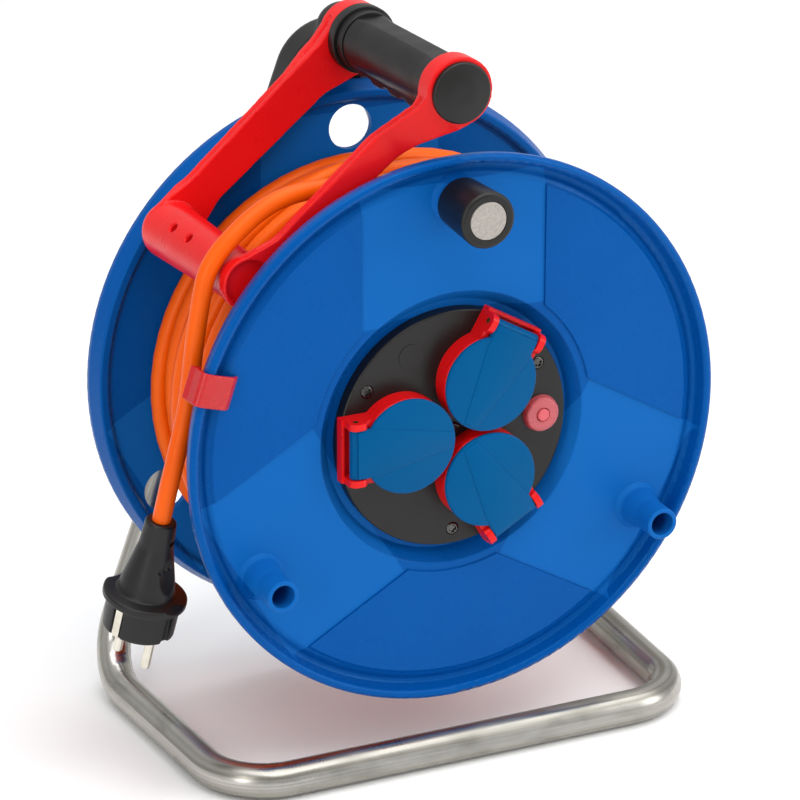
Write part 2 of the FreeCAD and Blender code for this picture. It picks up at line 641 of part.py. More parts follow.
def crank_knob():
    cone = FACE_DEPTH - BOSS_CONE
    mouth = FACE_DEPTH - BOSS_LENGTH
    shoulder = mouth - 0.3
    bore = BOSS_TIP_R + RUN_GAP
    disc_seat = KNOB_FRONT + KNOB_DISC_WALL + 0.2
    slope = (BOSS_ROOT_R - BOSS_TIP_R) / (BOSS_CONE - 2.5)
    body = lathe([(BOSS_TIP_R + slope * (KNOB_ROOT - cone) + 0.45, KNOB_ROOT, 0.4),
                  (KNOB_ROOT_R, KNOB_ROOT, 0.8),
                  (KNOB_R, KNOB_FRONT, 2.0), (KNOB_DISC_R + 0.1, KNOB_FRONT, 0.3),
                  (KNOB_DISC_R + 0.1, disc_seat), (8.8, disc_seat), (8.8, shoulder - 1.8),
                  (BOSS_BORE_R + 0.25, shoulder - 1.8), (BOSS_BORE_R + 0.25, shoulder),
                  (bore, shoulder), (bore, cone - 1.0)], x=CRANK_R)
    keep("crank_knob", at_angle(body, ARM_ANGLES[0]))
    disc = lathe([(0, disc_seat - KNOB_DISC_WALL), (KNOB_DISC_R, disc_seat - KNOB_DISC_WALL, 0.5),
                  (KNOB_DISC_R, disc_seat), (0, disc_seat)], x=CRANK_R)
    keep("knob_disc", at_angle(disc, ARM_ANGLES[0]))
    spindle = lathe([(0, shoulder - 4.2), (7.8, shoulder - 4.2, 0.8), (7.8, shoulder - 2.1),
                     (BOSS_BORE_R, shoulder - 2.1), (BOSS_BORE_R, FACE_DEPTH - 4.0, 1.0),
                     (0, FACE_DEPTH - 4.0)], x=CRANK_R)
    keep("knob_spindle", at_angle(spindle, ARM_ANGLES[0]))


def cable_clip():
    """A sprung strip over the front rim: toe in the groove, bend outside, lip turned out."""
    w = CLIP_WALL
    front = -w - 0.1
    outside = DRUM_R + 1.2
    toe_r, toe_y = GROOVE_INNER_R - 6.0, FACE_DEPTH - SECTOR_RISE - 0.1
    knee_r, knee_y = GROOVE_INNER_R - 2.0, 1.5
    crest = DRUM_R - RIM_BEAD
    section = outline_face([(toe_r, toe_y - w, 0.6), (knee_r - 0.6, knee_y - w, 3.0),
                            (crest, front, 3.0), (outside + w, front, 3.2),
                            (outside + w + 0.4, 7.2, 1.5), (outside + w + 1.6, 10.8),
                            (outside + w + 0.4, 12.0), (outside - 0.6, 10.2, 1.0),
                            (DRUM_R - 0.4, 10.6), (DRUM_R - 0.6, 9.0),
                            (outside, 8.2, 1.0), (outside, front + w, 1.4),
                            (crest + 0.4, front + w, 2.0), (knee_r + 0.2, knee_y + 0.5, 2.0),
                            (toe_r, toe_y)],
                           lambda r, y: Vector(r, y, -CLIP_WIDTH / 2))
    clip = section.extrude(Vector(0, 0, CLIP_WIDTH))
    keep("cable_clip", at_angle(clip, CLIP_ANGLE))


def cord_anchor():
    """The gland that holds the cord where it comes in through the barrel, and its inner end."""
    half = CORD_D / 2
    inner_wall = BARREL_R - BARREL_WALL
    flat = block(-20.0, 20.0, ANCHOR_DEPTH - 20, ANCHOR_DEPTH + 20, -inner_wall - 5, -inner_wall + 2.6)
    foot = spoke(13.0, inner_wall - 5.0, inner_wall + 2.0).common(
        rod(inner_wall, ANCHOR_DEPTH - 20, ANCHOR_DEPTH + 20)).common(flat)
    gland = fused([foot, spoke(9.0, inner_wall - 16.0, inner_wall - 2.6)])
    keep("cord_gland", gland.cut(spoke(half, inner_wall - 30.0, inner_wall + 10.0)))
    keep("cord_inner_end", spoke(half, inner_wall - 26.0, BARREL_R - 0.1))


# Both routes are drawn about the axle at the drum's nominal radius. The last turn lifts off the
# layer along the first one, and the free cord goes on from its end, over the outside of the red
# bar and down past the clip to the neck of the hanging plug.
ROUTE_DRUM_R = 145.0
LIFT_OFF = ((27.0, 33.4, 113.3), (8.5, 33.0, 117.7), (-11.0, 33.3, 121.4), (-26.0, 33.5, 123.8))
CORD_ROUTE = (
    (-26.0, 33.5, 123.8), (-36.0, 33.633, 125.4),
    (-52.5, 33.4, 126.9), (-69.0, 32.8, 127.4), (-84.5, 31.4, 125.2), (-97.5, 29.2, 119.6),
    (-108.6, 27.0, 112.6), (-118.3, 25.8, 104.6), (-124.7, 25.3, 95.0), (-127.4, 25.2, 82.2),
    (-129.9, 24.9, 69.4), (-132.2, 24.3, 56.6), (-134.0, 23.6, 43.0), (-136.8, 22.8, 28.0),
    (-141.0, 21.7, 13.0), (-145.2, 20.9, -1.5), (-148.711, 21.594, -15.811), (-150.8, 24.0, -29.3),
)


def route_points(route):
    grow = DRUM_R / ROUTE_DRUM_R
    return [Vector(x * grow, y, z * grow) for x, y, z in route]


def route_edges(points):
    """A route's straight runs, with the widest arcs that its corners take."""
    radii = [0.0]
    for i in range(1, len(points) - 1):
        back, ahead = points[i - 1] - points[i], points[i + 1] - points[i]
        turn = math.pi - back.getAngle(ahead)
        radii.append(0.45 * min(back.Length, ahead.Length) / math.tan(turn / 2) if turn > 0.001 else 0.0)
    radii.append(0.0)
    return rounded_edges(points, radii), min([r for r in radii if r])


# Quarter turns that follow the close layer: height above it and the share of the way forward,
# from the first crossing (0) to where the free cord leaves (1).
LOOSE_HEIGHT = CORD_D + 0.5
LOOSE_STATIONS = (
    (LOOSE_HEIGHT, 0.0), (LOOSE_HEIGHT + 0.3, 0.205), (LOOSE_HEIGHT, 0.262), (LOOSE_HEIGHT + 0.4, 0.31),
    (LOOSE_HEIGHT, 0.371), (LOOSE_HEIGHT + 0.2, 0.425), (LOOSE_HEIGHT + 0.5, 0.472), (LOOSE_HEIGHT, 0.536),
    (LOOSE_HEIGHT + 0.2, 0.59), (LOOSE_HEIGHT + 0.3, 0.638), (LOOSE_HEIGHT + 0.1, 0.698),
    (LOOSE_HEIGHT + 0.2, 0.8), (LOOSE_HEIGHT + 0.2, 0.935),
)
CROSSING_BACK = 25.0


def winding():
    """One unbroken cord: a close layer towards the rear, then looser turns coming forward."""
    half = CORD_D / 2
    web_back = FACE_DEPTH + WEB
    y_front = web_back + CORD_SIDE_GAP + half
    y_rear = DRUM_WIDTH - y_front
    keep("winding_core", tube(LAYER_R - half - CORE_GAP, BARREL_R + 0.2, web_back + 0.3,
                              DRUM_WIDTH - web_back - 0.3))
    route = route_points(LIFT_OFF)
    leave = (route[1] - route[0]).normalize()
    end = route[0] - leave * CORD_D
    quarters = LAYER_TURNS * 4
    stations = [(LAYER_START + 90.0 * k, LAYER_R, y_front + (y_rear - y_front) * k / quarters)
                for k in range(quarters + 1)]
    angle = stations[-1][0]
    stations.append((angle + 90.0, LAYER_R + 7.2, y_rear))
    stations.append((angle + 180.0, LAYER_R + LOOSE_HEIGHT, y_rear - 3.3))
    y_cross = y_rear - CROSSING_BACK
    for k, (height, share) in enumerate(LOOSE_STATIONS):
        stations.append((angle + 270.0 + 90.0 * k, LAYER_R + height, y_cross - (y_cross - end.y) * share))
    points = [polar(r, a, y) for a, r, y in stations]
    tangents = []
    for i, (a, r, y) in enumerate(stations):
        lo, hi = max(i - 1, 0), min(i + 1, len(stations) - 1)
        turn = math.radians(stations[hi][0] - stations[lo][0])
        rise = (stations[hi][2] - stations[lo][2]) / turn
        grow = (stations[hi][1] - stations[lo][1]) / turn
        rad = math.radians(a)
        around = Vector(-math.sin(rad), 0, math.cos(rad)) * r
        outward = Vector(math.cos(rad), 0, math.sin(rad)) * grow
        tangents.append((around + outward + Vector(0, rise, 0)).normalize())
    edges = wound_edges(points + [end], tangents + [leave])
    first = points[0] - tangents[0] * CORD_D
    chain = [Part.LineSegment(first, points[0]).toShape()] + edges
    chain += route_edges([end] + route[1:])[0]
    cord = swept(chain, half, tangents[0])
    length = sum(e.Length for e in chain)
    print("winding: length %.0f volume check %.4f valid %s" % (
        length, cord.Volume / (math.pi * half * half * length), cord.isValid()))
    samples = []
    run = 0.0
    for e in chain:
        count = max(2, int(e.Length / 4.0))
        samples += [(run + e.Length * j / count, p) for j, p in enumerate(e.discretize(count + 1)[:-1])]
        run += e.Length
    least = min((samples[i][1] - samples[j][1]).Length
                for i in range(len(samples)) for j in range(i + 20, len(samples))
                if samples[j][0] - samples[i][0] > 5 * CORD_D)
    print("winding: least gap to itself %.2f" % (least - CORD_D))
    keep("winding", cord)


def free_cord():
    points = route_points(CORD_ROUTE)
    edges, tightest = route_edges(points)
    cord = swept(edges, CORD_D / 2, points[1] - points[0])
    length = sum(e.Length for e in edges)
    print("free cord: length %.0f, volume check %.4f, least radius %.0f" % (
        length, cord.Volume / (math.pi * CORD_D ** 2 / 4 * length), tightest))
    keep("cord_free", cord)
    return points[-1]


def plug(neck):
    """A moulded two-pin earthed plug with a round hand guard, hanging from the cord."""
    boot = PLUG_LENGTH - 20.8
    guard = boot + 4.0

    def spin(corners):
        face = outline_face(corners, lambda r, d: Vector(r, 0, -d))
        return face.revolve(ORIGIN, Vector(0, 0, 1), 360)

    body = spin([(0, 0), (CORD_D / 2 + 3.0, 0, 1.2), (CORD_D / 2 + 4.0, 14.0, 20.0), (13.4, boot - 8.0, 12.0),
                 (14.6, boot - 1.4, 1.2), (PLUG_COLLAR_R, boot, 1.0), (PLUG_COLLAR_R, guard, 1.2),
                 (PLUG_BODY_R, guard + 0.6), (PLUG_BODY_R - 0.6, PLUG_LENGTH, 1.2), (0, PLUG_LENGTH)])
    pin_slot = PLUG_BODY_R - 3.2
    notches = []
    for side in (-1, 1):
        notch = Part.makeBox(8.0, 5.4, 16.0, Vector(PLUG_BODY_R - 2.6, -2.7, -PLUG_LENGTH - 1))
        strip_slot = Part.makeBox(6.0, 6.0, 17.0, Vector(pin_slot + 1.2, -3.0, -PLUG_LENGTH - 1))
        if side < 0:
            notch.rotate(ORIGIN, Vector(0, 0, 1), 180)
            strip_slot.rotate(ORIGIN, Vector(0, 0, 1), 180)
        strip_slot.rotate(ORIGIN, Vector(0, 0, 1), 90)
        notches += [notch, strip_slot]
    body = body.cut(fused(notches))
    dimple_r = 26.0
    body = body.cut([Part.makeSphere(dimple_r, Vector(side * (dimple_r + 9.6), 0, -22.0)) for side in (-1, 1)])
    pins = []
    for side in (-1, 1):
        pin = spin([(0, PLUG_LENGTH - 8.0), (PLUG_PIN_R, PLUG_LENGTH - 8.0),
                    (PLUG_PIN_R, PLUG_LENGTH + PLUG_PIN_LENGTH, 1.6),
                    (0, PLUG_LENGTH + PLUG_PIN_LENGTH)])
        pin.translate(Vector(side * CONTACT_SPACING / 2, 0, 0))
        pins.append(pin)
    body = body.cut(fused([p.copy() for p in pins]))
    strips = []
    for side in (-1, 1):
        strip = Part.makeBox(1.0, 4.2, 15.6, Vector(pin_slot + 1.2, -2.1, -PLUG_LENGTH + 0.2))
        if side < 0:
            strip.rotate(ORIGIN, Vector(0, 0, 1), 180)
        strip.rotate(ORIGIN, Vector(0, 0, 1), 90)
        strips.append(strip)
    for name, shape in (("plug_body", body), ("plug_pins", Part.makeCompound(pins)),
                        ("plug_earth_strips", Part.makeCompound(strips))):
        placed = shape.copy()
        placed.rotate(ORIGIN, Vector(0, 0, 1), PLUG_TURN)
        placed.rotate(ORIGIN, Vector(1, 0, 0), PLUG_BACK)
        placed.rotate(ORIGIN, Vector(0, 1, 0), PLUG_LEAN)
        placed.translate(neck)
        keep(name, placed)


def leg_half(z):
    """Half the distance between the legs at a height above the axle."""
    foot_z = TUBE_R - AXLE_Z
    return FOOT_REAR_HALF + (LEG_TOP_HALF - FOOT_REAR_HALF) * (z - foot_z) / (LEG_TOP - foot_z)


def stand_tube():
    foot_z = TUBE_R - AXLE_Z
    left = [Vector(-LEG_TOP_HALF, LEG_Y, LEG_TOP), Vector(-FOOT_REAR_HALF, LEG_Y, foot_z),
            Vector(-FOOT_FRONT_HALF, -FOOT_FRONT_OUT, foot_z)]
    points = left + [Vector(-p.x, p.y, p.z) for p in reversed(left)]
    edges = rounded_edges(points, [0, BEND_R, BEND_R, BEND_R, BEND_R, 0])
    direction = points[1] - points[0]
    tube_shape = swept(edges, TUBE_R, direction).cut(swept(edges, TUBE_R - TUBE_WALL, direction))
    holes = [rod(HOUSING_SCREW_R, LEG_Y + 2.0, LEG_Y + TUBE_R + 1, side * leg_half(HOUSING_SCREW_Z),
                 HOUSING_SCREW_Z) for side in (-1, 1)]
    keep("stand_tube", tube_shape.cut(fused(holes)))


def leg_rod(radius, z0, z1, side):
    """A rod along one leg's centre line between two heights."""
    a = Vector(side * leg_half(z0), LEG_Y, z0)
    b = Vector(side * leg_half(z1), LEG_Y, z1)
    return Part.makeCylinder(radius, (b - a).Length, a, b - a)


def clamp_outline(grow=0.0):
    """The outline of a leg clamp, drawn upright about the leg."""
    w, h = TUBE_R + 8.5 + grow, CLAMP_HALF + grow
    return [(-w, -h, 4.0), (w, -h, 4.0), (w, h, 4.0), (-w, h, 4.0)]


def leg_lean():
    foot_z = TUBE_R - AXLE_Z
    return math.degrees(math.atan2(FOOT_REAR_HALF - LEG_TOP_HALF, LEG_TOP - foot_z))


def at_leg(shape, side):
    """Carry a piece drawn upright about the axle onto a leg at axle height."""
    placed = shape.copy()
    placed.rotate(ORIGIN, AXIS, -side * leg_lean())
    placed.translate(Vector(side * leg_half(0), 0, 0))
    return placed


def clamp_screw_spots():
    return [(dx, dz) for dx in (-TUBE_R - 4.6, TUBE_R + 4.6) for dz in (-CLAMP_HALF + 5.5, CLAMP_HALF - 5.5)]


def axle_bracket():
    plate = slab([(-leg_half(0), -BRACKET_HALF_HEIGHT + 4, 4.0), (-26.0, -BRACKET_HALF_HEIGHT + 4, 20.0),
                  (0, -BRACKET_HALF_HEIGHT - 9, 24.0), (26.0, -BRACKET_HALF_HEIGHT + 4, 20.0),
                  (leg_half(0), -BRACKET_HALF_HEIGHT + 4, 4.0),
                  (leg_half(0), BRACKET_HALF_HEIGHT - 4, 4.0), (26.0, BRACKET_HALF_HEIGHT - 4, 20.0),
                  (0, BRACKET_HALF_HEIGHT + 9, 24.0), (-26.0, BRACKET_HALF_HEIGHT - 4, 20.0),
                  (-leg_half(0), BRACKET_HALF_HEIGHT - 4, 4.0)], BRACKET_FRONT, LEG_Y)
    saddles = [at_leg(slab(clamp_outline(), BRACKET_FRONT, LEG_Y), side) for side in (-1, 1)]
    hub = lathe([(0, HUB_REAR + 0.4, 0), (HUB_R + 1.0, HUB_REAR + 0.4, 0.8),
                 (HUB_R + 3.0, AXLE_REAR + 3.0, 1.2), (0, AXLE_REAR + 3.0)])
    body = fused([plate, hub] + saddles)
    pocket = []
    for side in (-1, 1):
        inner, outer = side * (HUB_R + 4.5), side * (leg_half(0) - TUBE_R - 10.5)
        top = BRACKET_HALF_HEIGHT - 8.0
        pocket.append(slab([(inner, 1.4, 1.5), (outer, 1.4, 1.5), (outer, top, 1.5), (inner, top, 1.5)],
                           BRACKET_FRONT + 3.5, LEG_Y + 1))
        pocket.append(slab([(inner, -top, 1.5), (outer, -top, 1.5), (outer, -1.4, 1.5), (inner, -1.4, 1.5)],
                           BRACKET_FRONT + 3.5, LEG_Y + 1))
    cuts = pocket + [rod(AXLE_R, HUB_REAR - 1, AXLE_REAR)]
    cuts += [leg_rod(TUBE_R, -CLAMP_SPAN, CLAMP_SPAN, side) for side in (-1, 1)]
    for side in (-1, 1):
        for dx, dz in clamp_screw_spots():
            cuts.append(at_leg(rod(1.7, LEG_Y - 8.0, LEG_Y + 1, dx, dz), side))
    keep("axle_bracket", body.cut(fused(cuts)))


def leg_clamps():
    clamps, screws = [], []
    for side in (-1, 1):
        clamp = slab(clamp_outline(), LEG_Y, CLAMP_REAR)
        clamp = clamp.makeFillet(1.5, [e for e in clamp.Edges if e.CenterOfMass.y > CLAMP_REAR - 0.01])
        holes = fused([rod(1.9, LEG_Y - 1, CLAMP_REAR + 1, dx, dz) for dx, dz in clamp_screw_spots()]
                      + [rod(3.7, CLAMP_REAR - 2.4, CLAMP_REAR + 1, dx, dz)
                         for dx, dz in clamp_screw_spots()])
        clamps.append(at_leg(clamp.cut(holes), side).cut(leg_rod(TUBE_R, -CLAMP_SPAN, CLAMP_SPAN, side)))
        screws += [at_leg(pan_screw(3.5, 2.0, 1.7, CLAMP_REAR - 2.4 - LEG_Y + 7.5, CLAMP_REAR - 2.4, -1,
                                    dx, dz), side) for dx, dz in clamp_screw_spots()]
    keep("leg_clamps", Part.makeCompound(clamps))
    keep("bracket_screws", Part.makeCompound(screws))


def axle():
    washer_front = HUB_FRONT - 0.3 - 2.0
    keep("axle", tube(AXLE_R, AXLE_R - AXLE_WALL, washer_front, AXLE_REAR))
    plug_end = washer_front + 16.0
    insert = rod(AXLE_R - AXLE_WALL, washer_front, plug_end).cut(rod(4.0, washer_front - 1, plug_end + 1))
    keep("axle_insert", insert)
    keep("axle_washer", tube(HUB_R - 1.0, 4.0, washer_front - 2.0, washer_front))
    hexagon = [(7.5 * math.cos(math.radians(60 * k)), 7.5 * math.sin(math.radians(60 * k)))
               for k in range(6)]
    head = slab(hexagon, washer_front - 7.5, washer_front - 2.0)
    keep("axle_bolt", fused([head, rod(4.0, washer_front - 2.1, plug_end - 1.0)]))


def dipped(shape):
    """Tip a piece of the handle so that it falls towards the rear."""
    tipped = shape.copy()
    tipped.rotate(Vector(0, 0, GRIP_Z), Vector(1, 0, 0), -HANDLE_DIP)
    return tipped


def handle_housing():
    """The arch that ties the tube's two ends and carries the handle's spigot."""
    half = leg_half(HOUSING_BOTTOM) + HOUSING_SIDE
    slope = (FOOT_REAR_HALF - LEG_TOP_HALF) / (LEG_TOP - TUBE_R + AXLE_Z)
    outline = [(-half, HOUSING_BOTTOM), (0, HOUSING_BOTTOM + half / slope, HOUSING_CROWN_R),
               (half, HOUSING_BOTTOM), (9.0, HOUSING_BOTTOM, 3.0), (0, HOUSING_BOTTOM + 7.0, 5.0),
               (-9.0, HOUSING_BOTTOM, 3.0)]
    arch = slab(outline, HOUSING_FRONT, HOUSING_REAR)
    soft = [e for e in arch.Edges if abs(e.CenterOfMass.y - HOUSING_REAR) < 0.01
            and e.CenterOfMass.z > HOUSING_BOTTOM + 8.0]
    arch = arch.makeFillet(8.0, soft)
    ring_front = GRIP_REAR + COLLAR_STEP
    boss_shape = dipped(lathe([(0, ring_front), (SPIGOT_R, ring_front), (SPIGOT_R, BOSS_REAR, 9.0),
                               (0, BOSS_REAR)], z=GRIP_Z))
    body = fused([arch, boss_shape])
    spots = [(side * leg_half(HOUSING_SCREW_Z), HOUSING_SCREW_Z) for side in (-1, 1)]
    seat = HOUSING_REAR - 2.0
    cuts = [dipped(rod(CORE_R, ring_front - 1, CORE_REAR + 0.5, 0, GRIP_Z))]
    cuts += [leg_rod(TUBE_R, HOUSING_BOTTOM - 30.0, LEG_TOP, side) for side in (-1, 1)]
    cuts += [rod(HOUSING_SCREW_R, LEG_Y, HOUSING_REAR + 1, x, z) for x, z in spots]
    cuts += [rod(4.0, seat, HOUSING_REAR + 1, x, z) for x, z in spots]
    keep("handle_housing", body.cut(fused(cuts)))
    screws = [pan_screw(3.8, 1.9, HOUSING_SCREW_R, seat - LEG_Y - TUBE_R + 3.5, seat, -1, x, z) for x, z in spots]
    keep("housing_screws", Part.makeCompound(screws))
    keep("handle_core", dipped(tube(CORE_R, CORE_R - CORE_WALL, 1.0, CORE_REAR, 0, GRIP_Z)))


def grip():
    barrel = lathe([(CORE_R, GRIP_FRONT), (GRIP_R, GRIP_FRONT, 1.0), (GRIP_R - 0.9, GRIP_FRONT + 12, 40.0),
                    (GRIP_R - 0.9, GRIP_REAR - 12, 40.0), (GRIP_R, GRIP_REAR, 1.0), (CORE_R, GRIP_REAR)],
                   z=GRIP_Z)
    depth = GRIP_R + 2.2
    first, last = GRIP_FRONT + 6.0, GRIP_REAR - 6.0
    step = (last - first) / FINGERS
    corners = [(first - 3.0, -8.0), (first - 1.0, -depth + 1.5, 3.0)]
    for k in range(FINGERS + 1):
        y = first + step * k
        if 0 < k < FINGERS:
            corners.append((y, -depth, 4.0))
        if k < FINGERS:
            corners.append((y + step / 2, -depth + 4.6, 12.0))
    corners += [(last + 1.0, -depth + 1.5, 3.0), (last + 3.0, -8.0)]
    face = outline_face(corners, lambda y, z: Vector(-9.0, y, GRIP_Z + z))
    keel = face.extrude(Vector(18.0, 0, 0)).common(
        rod(GRIP_R + 2.4, GRIP_FRONT, GRIP_REAR, 0, GRIP_Z)).cut(
        rod(CORE_R + 4.0, GRIP_FRONT - 1, GRIP_REAR + 1, 0, GRIP_Z))
    keep("grip", dipped(fused([barrel, keel])))
    ring_front = GRIP_REAR + COLLAR_STEP
    collar = lathe([(CORE_R, GRIP_REAR), (GRIP_R + 0.6, GRIP_REAR, 0.8),
                    (GRIP_R + 0.6, GRIP_REAR + 6.0), (GRIP_R + 2.4, GRIP_REAR + 6.0, 0.8),
                    (GRIP_R + 2.4, ring_front), (CORE_R, ring_front)], z=GRIP_Z)
    keep("grip_collar", dipped(collar))
    cap = lathe([(0, -CAP_DOME), (6.0, -CAP_DOME, 30.0), (CAP_R, -CAP_DOME + 1.4, 1.2),
                 (CAP_R, 0), (SPIGOT_R, 0), (SPIGOT_R, RING_WALL), (CORE_R, RING_WALL),
                 (CORE_R, 1.0), (0, 1.0)], z=GRIP_Z)
    keep("end_cap", dipped(cap))


def guide_arm(side_corners, end_r, upper, lower):
    """One paddle arm: its outline across the frame, kept only where the side view has it."""
    length = math.hypot(BAR_X, BAR_Z - GRIP_Z)
    along = Vector(BAR_X, 0, BAR_Z - GRIP_Z).normalize()
    across = Vector(along.z, 0, -along.x)
    start = Vector(0, 0, GRIP_Z)
    outline = outline_face([(4.0, RING_R - 1.0), (18.0, upper + 2.0, 14.0), (length - 24.0, upper, 24.0),
                            (length - 2.0, end_r - 0.2), (length - 2.0, -end_r + 0.2),
                            (length - 28.0, -lower, 24.0), (32.0, -lower - 1.2, 30.0), (4.0, -RING_R + 0.6)],
                           lambda s, w: start + along * s + across * w)
    depth = Vector(0, DRUM_WIDTH, 0)
    ring = Part.makeCylinder(RING_R, DRUM_WIDTH, start, AXIS)
    end = Part.makeCylinder(end_r, DRUM_WIDTH, Vector(BAR_X, 0, BAR_Z), AXIS)
    flat = fused([outline.extrude(depth), ring, end])
    side = outline_face(side_corners, lambda s, y: start + along * s + across * -40.0 + Vector(0, y, 0))
    return flat.common(side.extrude(across * 80.0))


def cable_guide():
    """Two clamping rings on the handle, an arm from each, and the bar the cord runs over."""
    length = math.hypot(BAR_X, BAR_Z - GRIP_Z)
    far = length + 30.0
    back = BAR_FRONT + ARM_END_WALL
    front = guide_arm([(-30.0, 0.0), (12.0, 0.0, 10.0), (42.0, BAR_FRONT - 2.4, 16.0), (96.0, BAR_FRONT, 60.0),
                       (far, BAR_FRONT), (far, back), (44.0, back - 0.3, 16.0), (19.0, RING_WALL, 5.0),
                       (-30.0, RING_WALL)], ARM_END_R, 6.0, 7.4)
    ring_front = GRIP_REAR + COLLAR_STEP
    ring_rear = ring_front + RING_WALL
    arm_front = BAR_REAR - ARM_WALL
    rear = guide_arm([(-30.0, ring_front), (20.0, ring_front, 6.0), (34.0, arm_front, 8.0),
                      (length, arm_front), (length, arm_front + 1.5), (length - 18.0, BAR_REAR, 8.0),
                      (40.0, BAR_REAR, 8.0), (26.0, ring_rear, 6.0), (-30.0, ring_rear)],
                     BAR_REAR_R, 11.4, 7.4)
    bar = lathe([(0, BAR_FRONT), (BAR_FRONT_R, BAR_FRONT), (BAR_REAR_R, BAR_REAR, 7.0),
                 (0, BAR_REAR)], BAR_X, BAR_Z)
    body = fused([front, rear, bar])
    cuts = [rod(SPIGOT_R, -1, DRUM_WIDTH, 0, GRIP_Z),
            rod(ARM_END_R - 1.8, BAR_FRONT - 1, BAR_FRONT + 3.0, BAR_X, BAR_Z)]
    outward = polar(1.0, PARK_ANGLE)
    for y in PARK_HOLES:
        mouth = Vector(BAR_X, y, BAR_Z) + outward * (BAR_REAR_R + 2.0)
        cuts.append(Part.makeCylinder(PARK_HOLE_R, PARK_HOLE_DEPTH + 2.0, mouth, outward * -1))
    keep("cable_guide", dipped(body.cut(fused(cuts))))


def build():
    front_flange()
    drum_barrel()
    rear_flange()
    drum_screws()
    socket_plate()
    plate_screws()
    socket_carrier()
    for name, angle in SOCKET_ANGLES.items():
        socket_housing(name, angle)
        lid(name, angle)
    earth_clips()
    contact_bushes()
    hinge_pins()
    lid_springs()
    breaker()
    crank_knob()
    cable_clip()
    cord_anchor()
    winding()
    plug(free_cord())
    stand_tube()
    axle_bracket()
    leg_clamps()
    axle()
    handle_housing()
    grip()
    cable_guide()


build()
os.makedirs("parts", exist_ok=True)
for node, shape in parts.items():
    if not shape.isValid():
        print("not valid:", node)
    shape.exportStep("parts/%s.step" % node)
print(len(parts), "nodes")
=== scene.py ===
# %% [markdown]
# # An extension cord reel on a bent tube stand
#
# The reel is a blue drum that turns on a stub axle, wound with orange cord. It has three covered
# sockets in its face, a crank knob, and a red frame on the handle that guides the cord. The solids
# come in as a fixed frame, in metres. This script dresses them: it gives every piece a finish, and
# models the pieces whose looks need more than the solids hold.

# %% Load the frame
import bpy
import bmesh
import math
from mathutils import Matrix, Vector
from mathutils.bvhtree import BVHTree
from mathutils.kdtree import KDTree


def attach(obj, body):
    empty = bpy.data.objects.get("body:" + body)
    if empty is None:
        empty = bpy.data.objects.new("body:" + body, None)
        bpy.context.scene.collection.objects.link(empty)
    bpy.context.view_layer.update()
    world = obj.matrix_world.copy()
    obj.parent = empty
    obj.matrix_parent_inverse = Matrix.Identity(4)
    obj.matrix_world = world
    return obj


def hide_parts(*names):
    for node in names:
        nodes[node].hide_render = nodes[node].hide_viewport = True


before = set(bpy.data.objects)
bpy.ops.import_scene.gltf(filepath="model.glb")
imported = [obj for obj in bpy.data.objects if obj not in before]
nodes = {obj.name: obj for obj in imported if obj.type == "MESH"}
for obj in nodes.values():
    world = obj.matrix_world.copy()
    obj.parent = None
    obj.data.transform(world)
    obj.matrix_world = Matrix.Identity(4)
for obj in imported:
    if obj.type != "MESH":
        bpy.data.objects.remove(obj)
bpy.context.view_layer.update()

# %% [markdown]
# The drum's axle is the natural origin for measuring on the reel, so sizes below are in millimetres
# from the middle of the drum's front rim: x to the right, y to the rear, z up. One helper carries
# such a place into the frame's metres. The other selects objects, because operators work on
# whatever is selected, and loading leaves everything selected.

# %% Places and selections
MM = 0.001
AXLE_HEIGHT = 176.5
FRONT_RIM = -65.0


def place(x, y, z):
    return Vector((x * MM, (y + FRONT_RIM) * MM, (z + AXLE_HEIGHT) * MM))


def around(radius, angle, y):
    rad = math.radians(angle)
    return place(radius * math.cos(rad), y, radius * math.sin(rad))


def pick(*objects):
    bpy.ops.object.select_all(action="DESELECT")
    for item in objects:
        item.select_set(True)
    if objects:
        bpy.context.view_layer.objects.active = objects[0]


pick()

# %% [markdown]
# The camera stands where the photographer stood: a little left of the front and above, at a long
# focal length, which keeps the two rims almost parallel. Its place was worked out from the rims,
# whose circles show as ellipses.

# %% Camera
AZIMUTH, ELEVATION, ROLL = math.radians(-25.49), math.radians(21.92), math.radians(0.12)
DISTANCE, SHIFT_LEFT, SHIFT_UP = 2.2619, 0.02901, 0.01608
FOCAL_LENGTH = 203.93
back = Vector((math.sin(AZIMUTH) * math.cos(ELEVATION), -math.cos(AZIMUTH) * math.cos(ELEVATION),
               math.sin(ELEVATION)))
side = (-back).cross(Vector((0, 0, 1))).normalized()
top = side.cross(-back)
right = side * math.cos(ROLL) + top * math.sin(ROLL)
up = top * math.cos(ROLL) - side * math.sin(ROLL)
lens_data = bpy.data.cameras.new("camera")
lens_data.sensor_width = 36.0
lens_data.lens = FOCAL_LENGTH
lens_data.clip_end = 20.0
camera = bpy.data.objects.new("camera", lens_data)
bpy.context.scene.collection.objects.link(camera)
camera.matrix_world = Matrix(((right.x, up.x, back.x, 0), (right.y, up.y, back.y, 0),
                              (right.z, up.z, back.z, 0), (0, 0, 0, 1)))
camera.location = place(0, 0, 0) + back * DISTANCE - right * SHIFT_LEFT + up * SHIFT_UP
bpy.context.scene.camera = camera
print("camera at", [round(v, 3) for v in camera.location])

# %% [markdown]
# A finish is a small graph of nodes. Every one starts the same way, with a shader and the piece's
# own coordinates, and moulded plastic, rubber and metal then differ in how their colour, gloss and
# surface vary. So the start is one helper, and each kind of variation is another.

# %% Helpers for finishes
finishes = {}


def shade(red, green, blue):
    """A colour given as on a screen, 0 to 255, as the linear value that shaders use."""
    def linear(level):
        part = level / 255
        return part / 12.92 if level <= 10 else ((part + 0.055) / 1.055) ** 2.4

    return (linear(red), linear(green), linear(blue), 1.0)


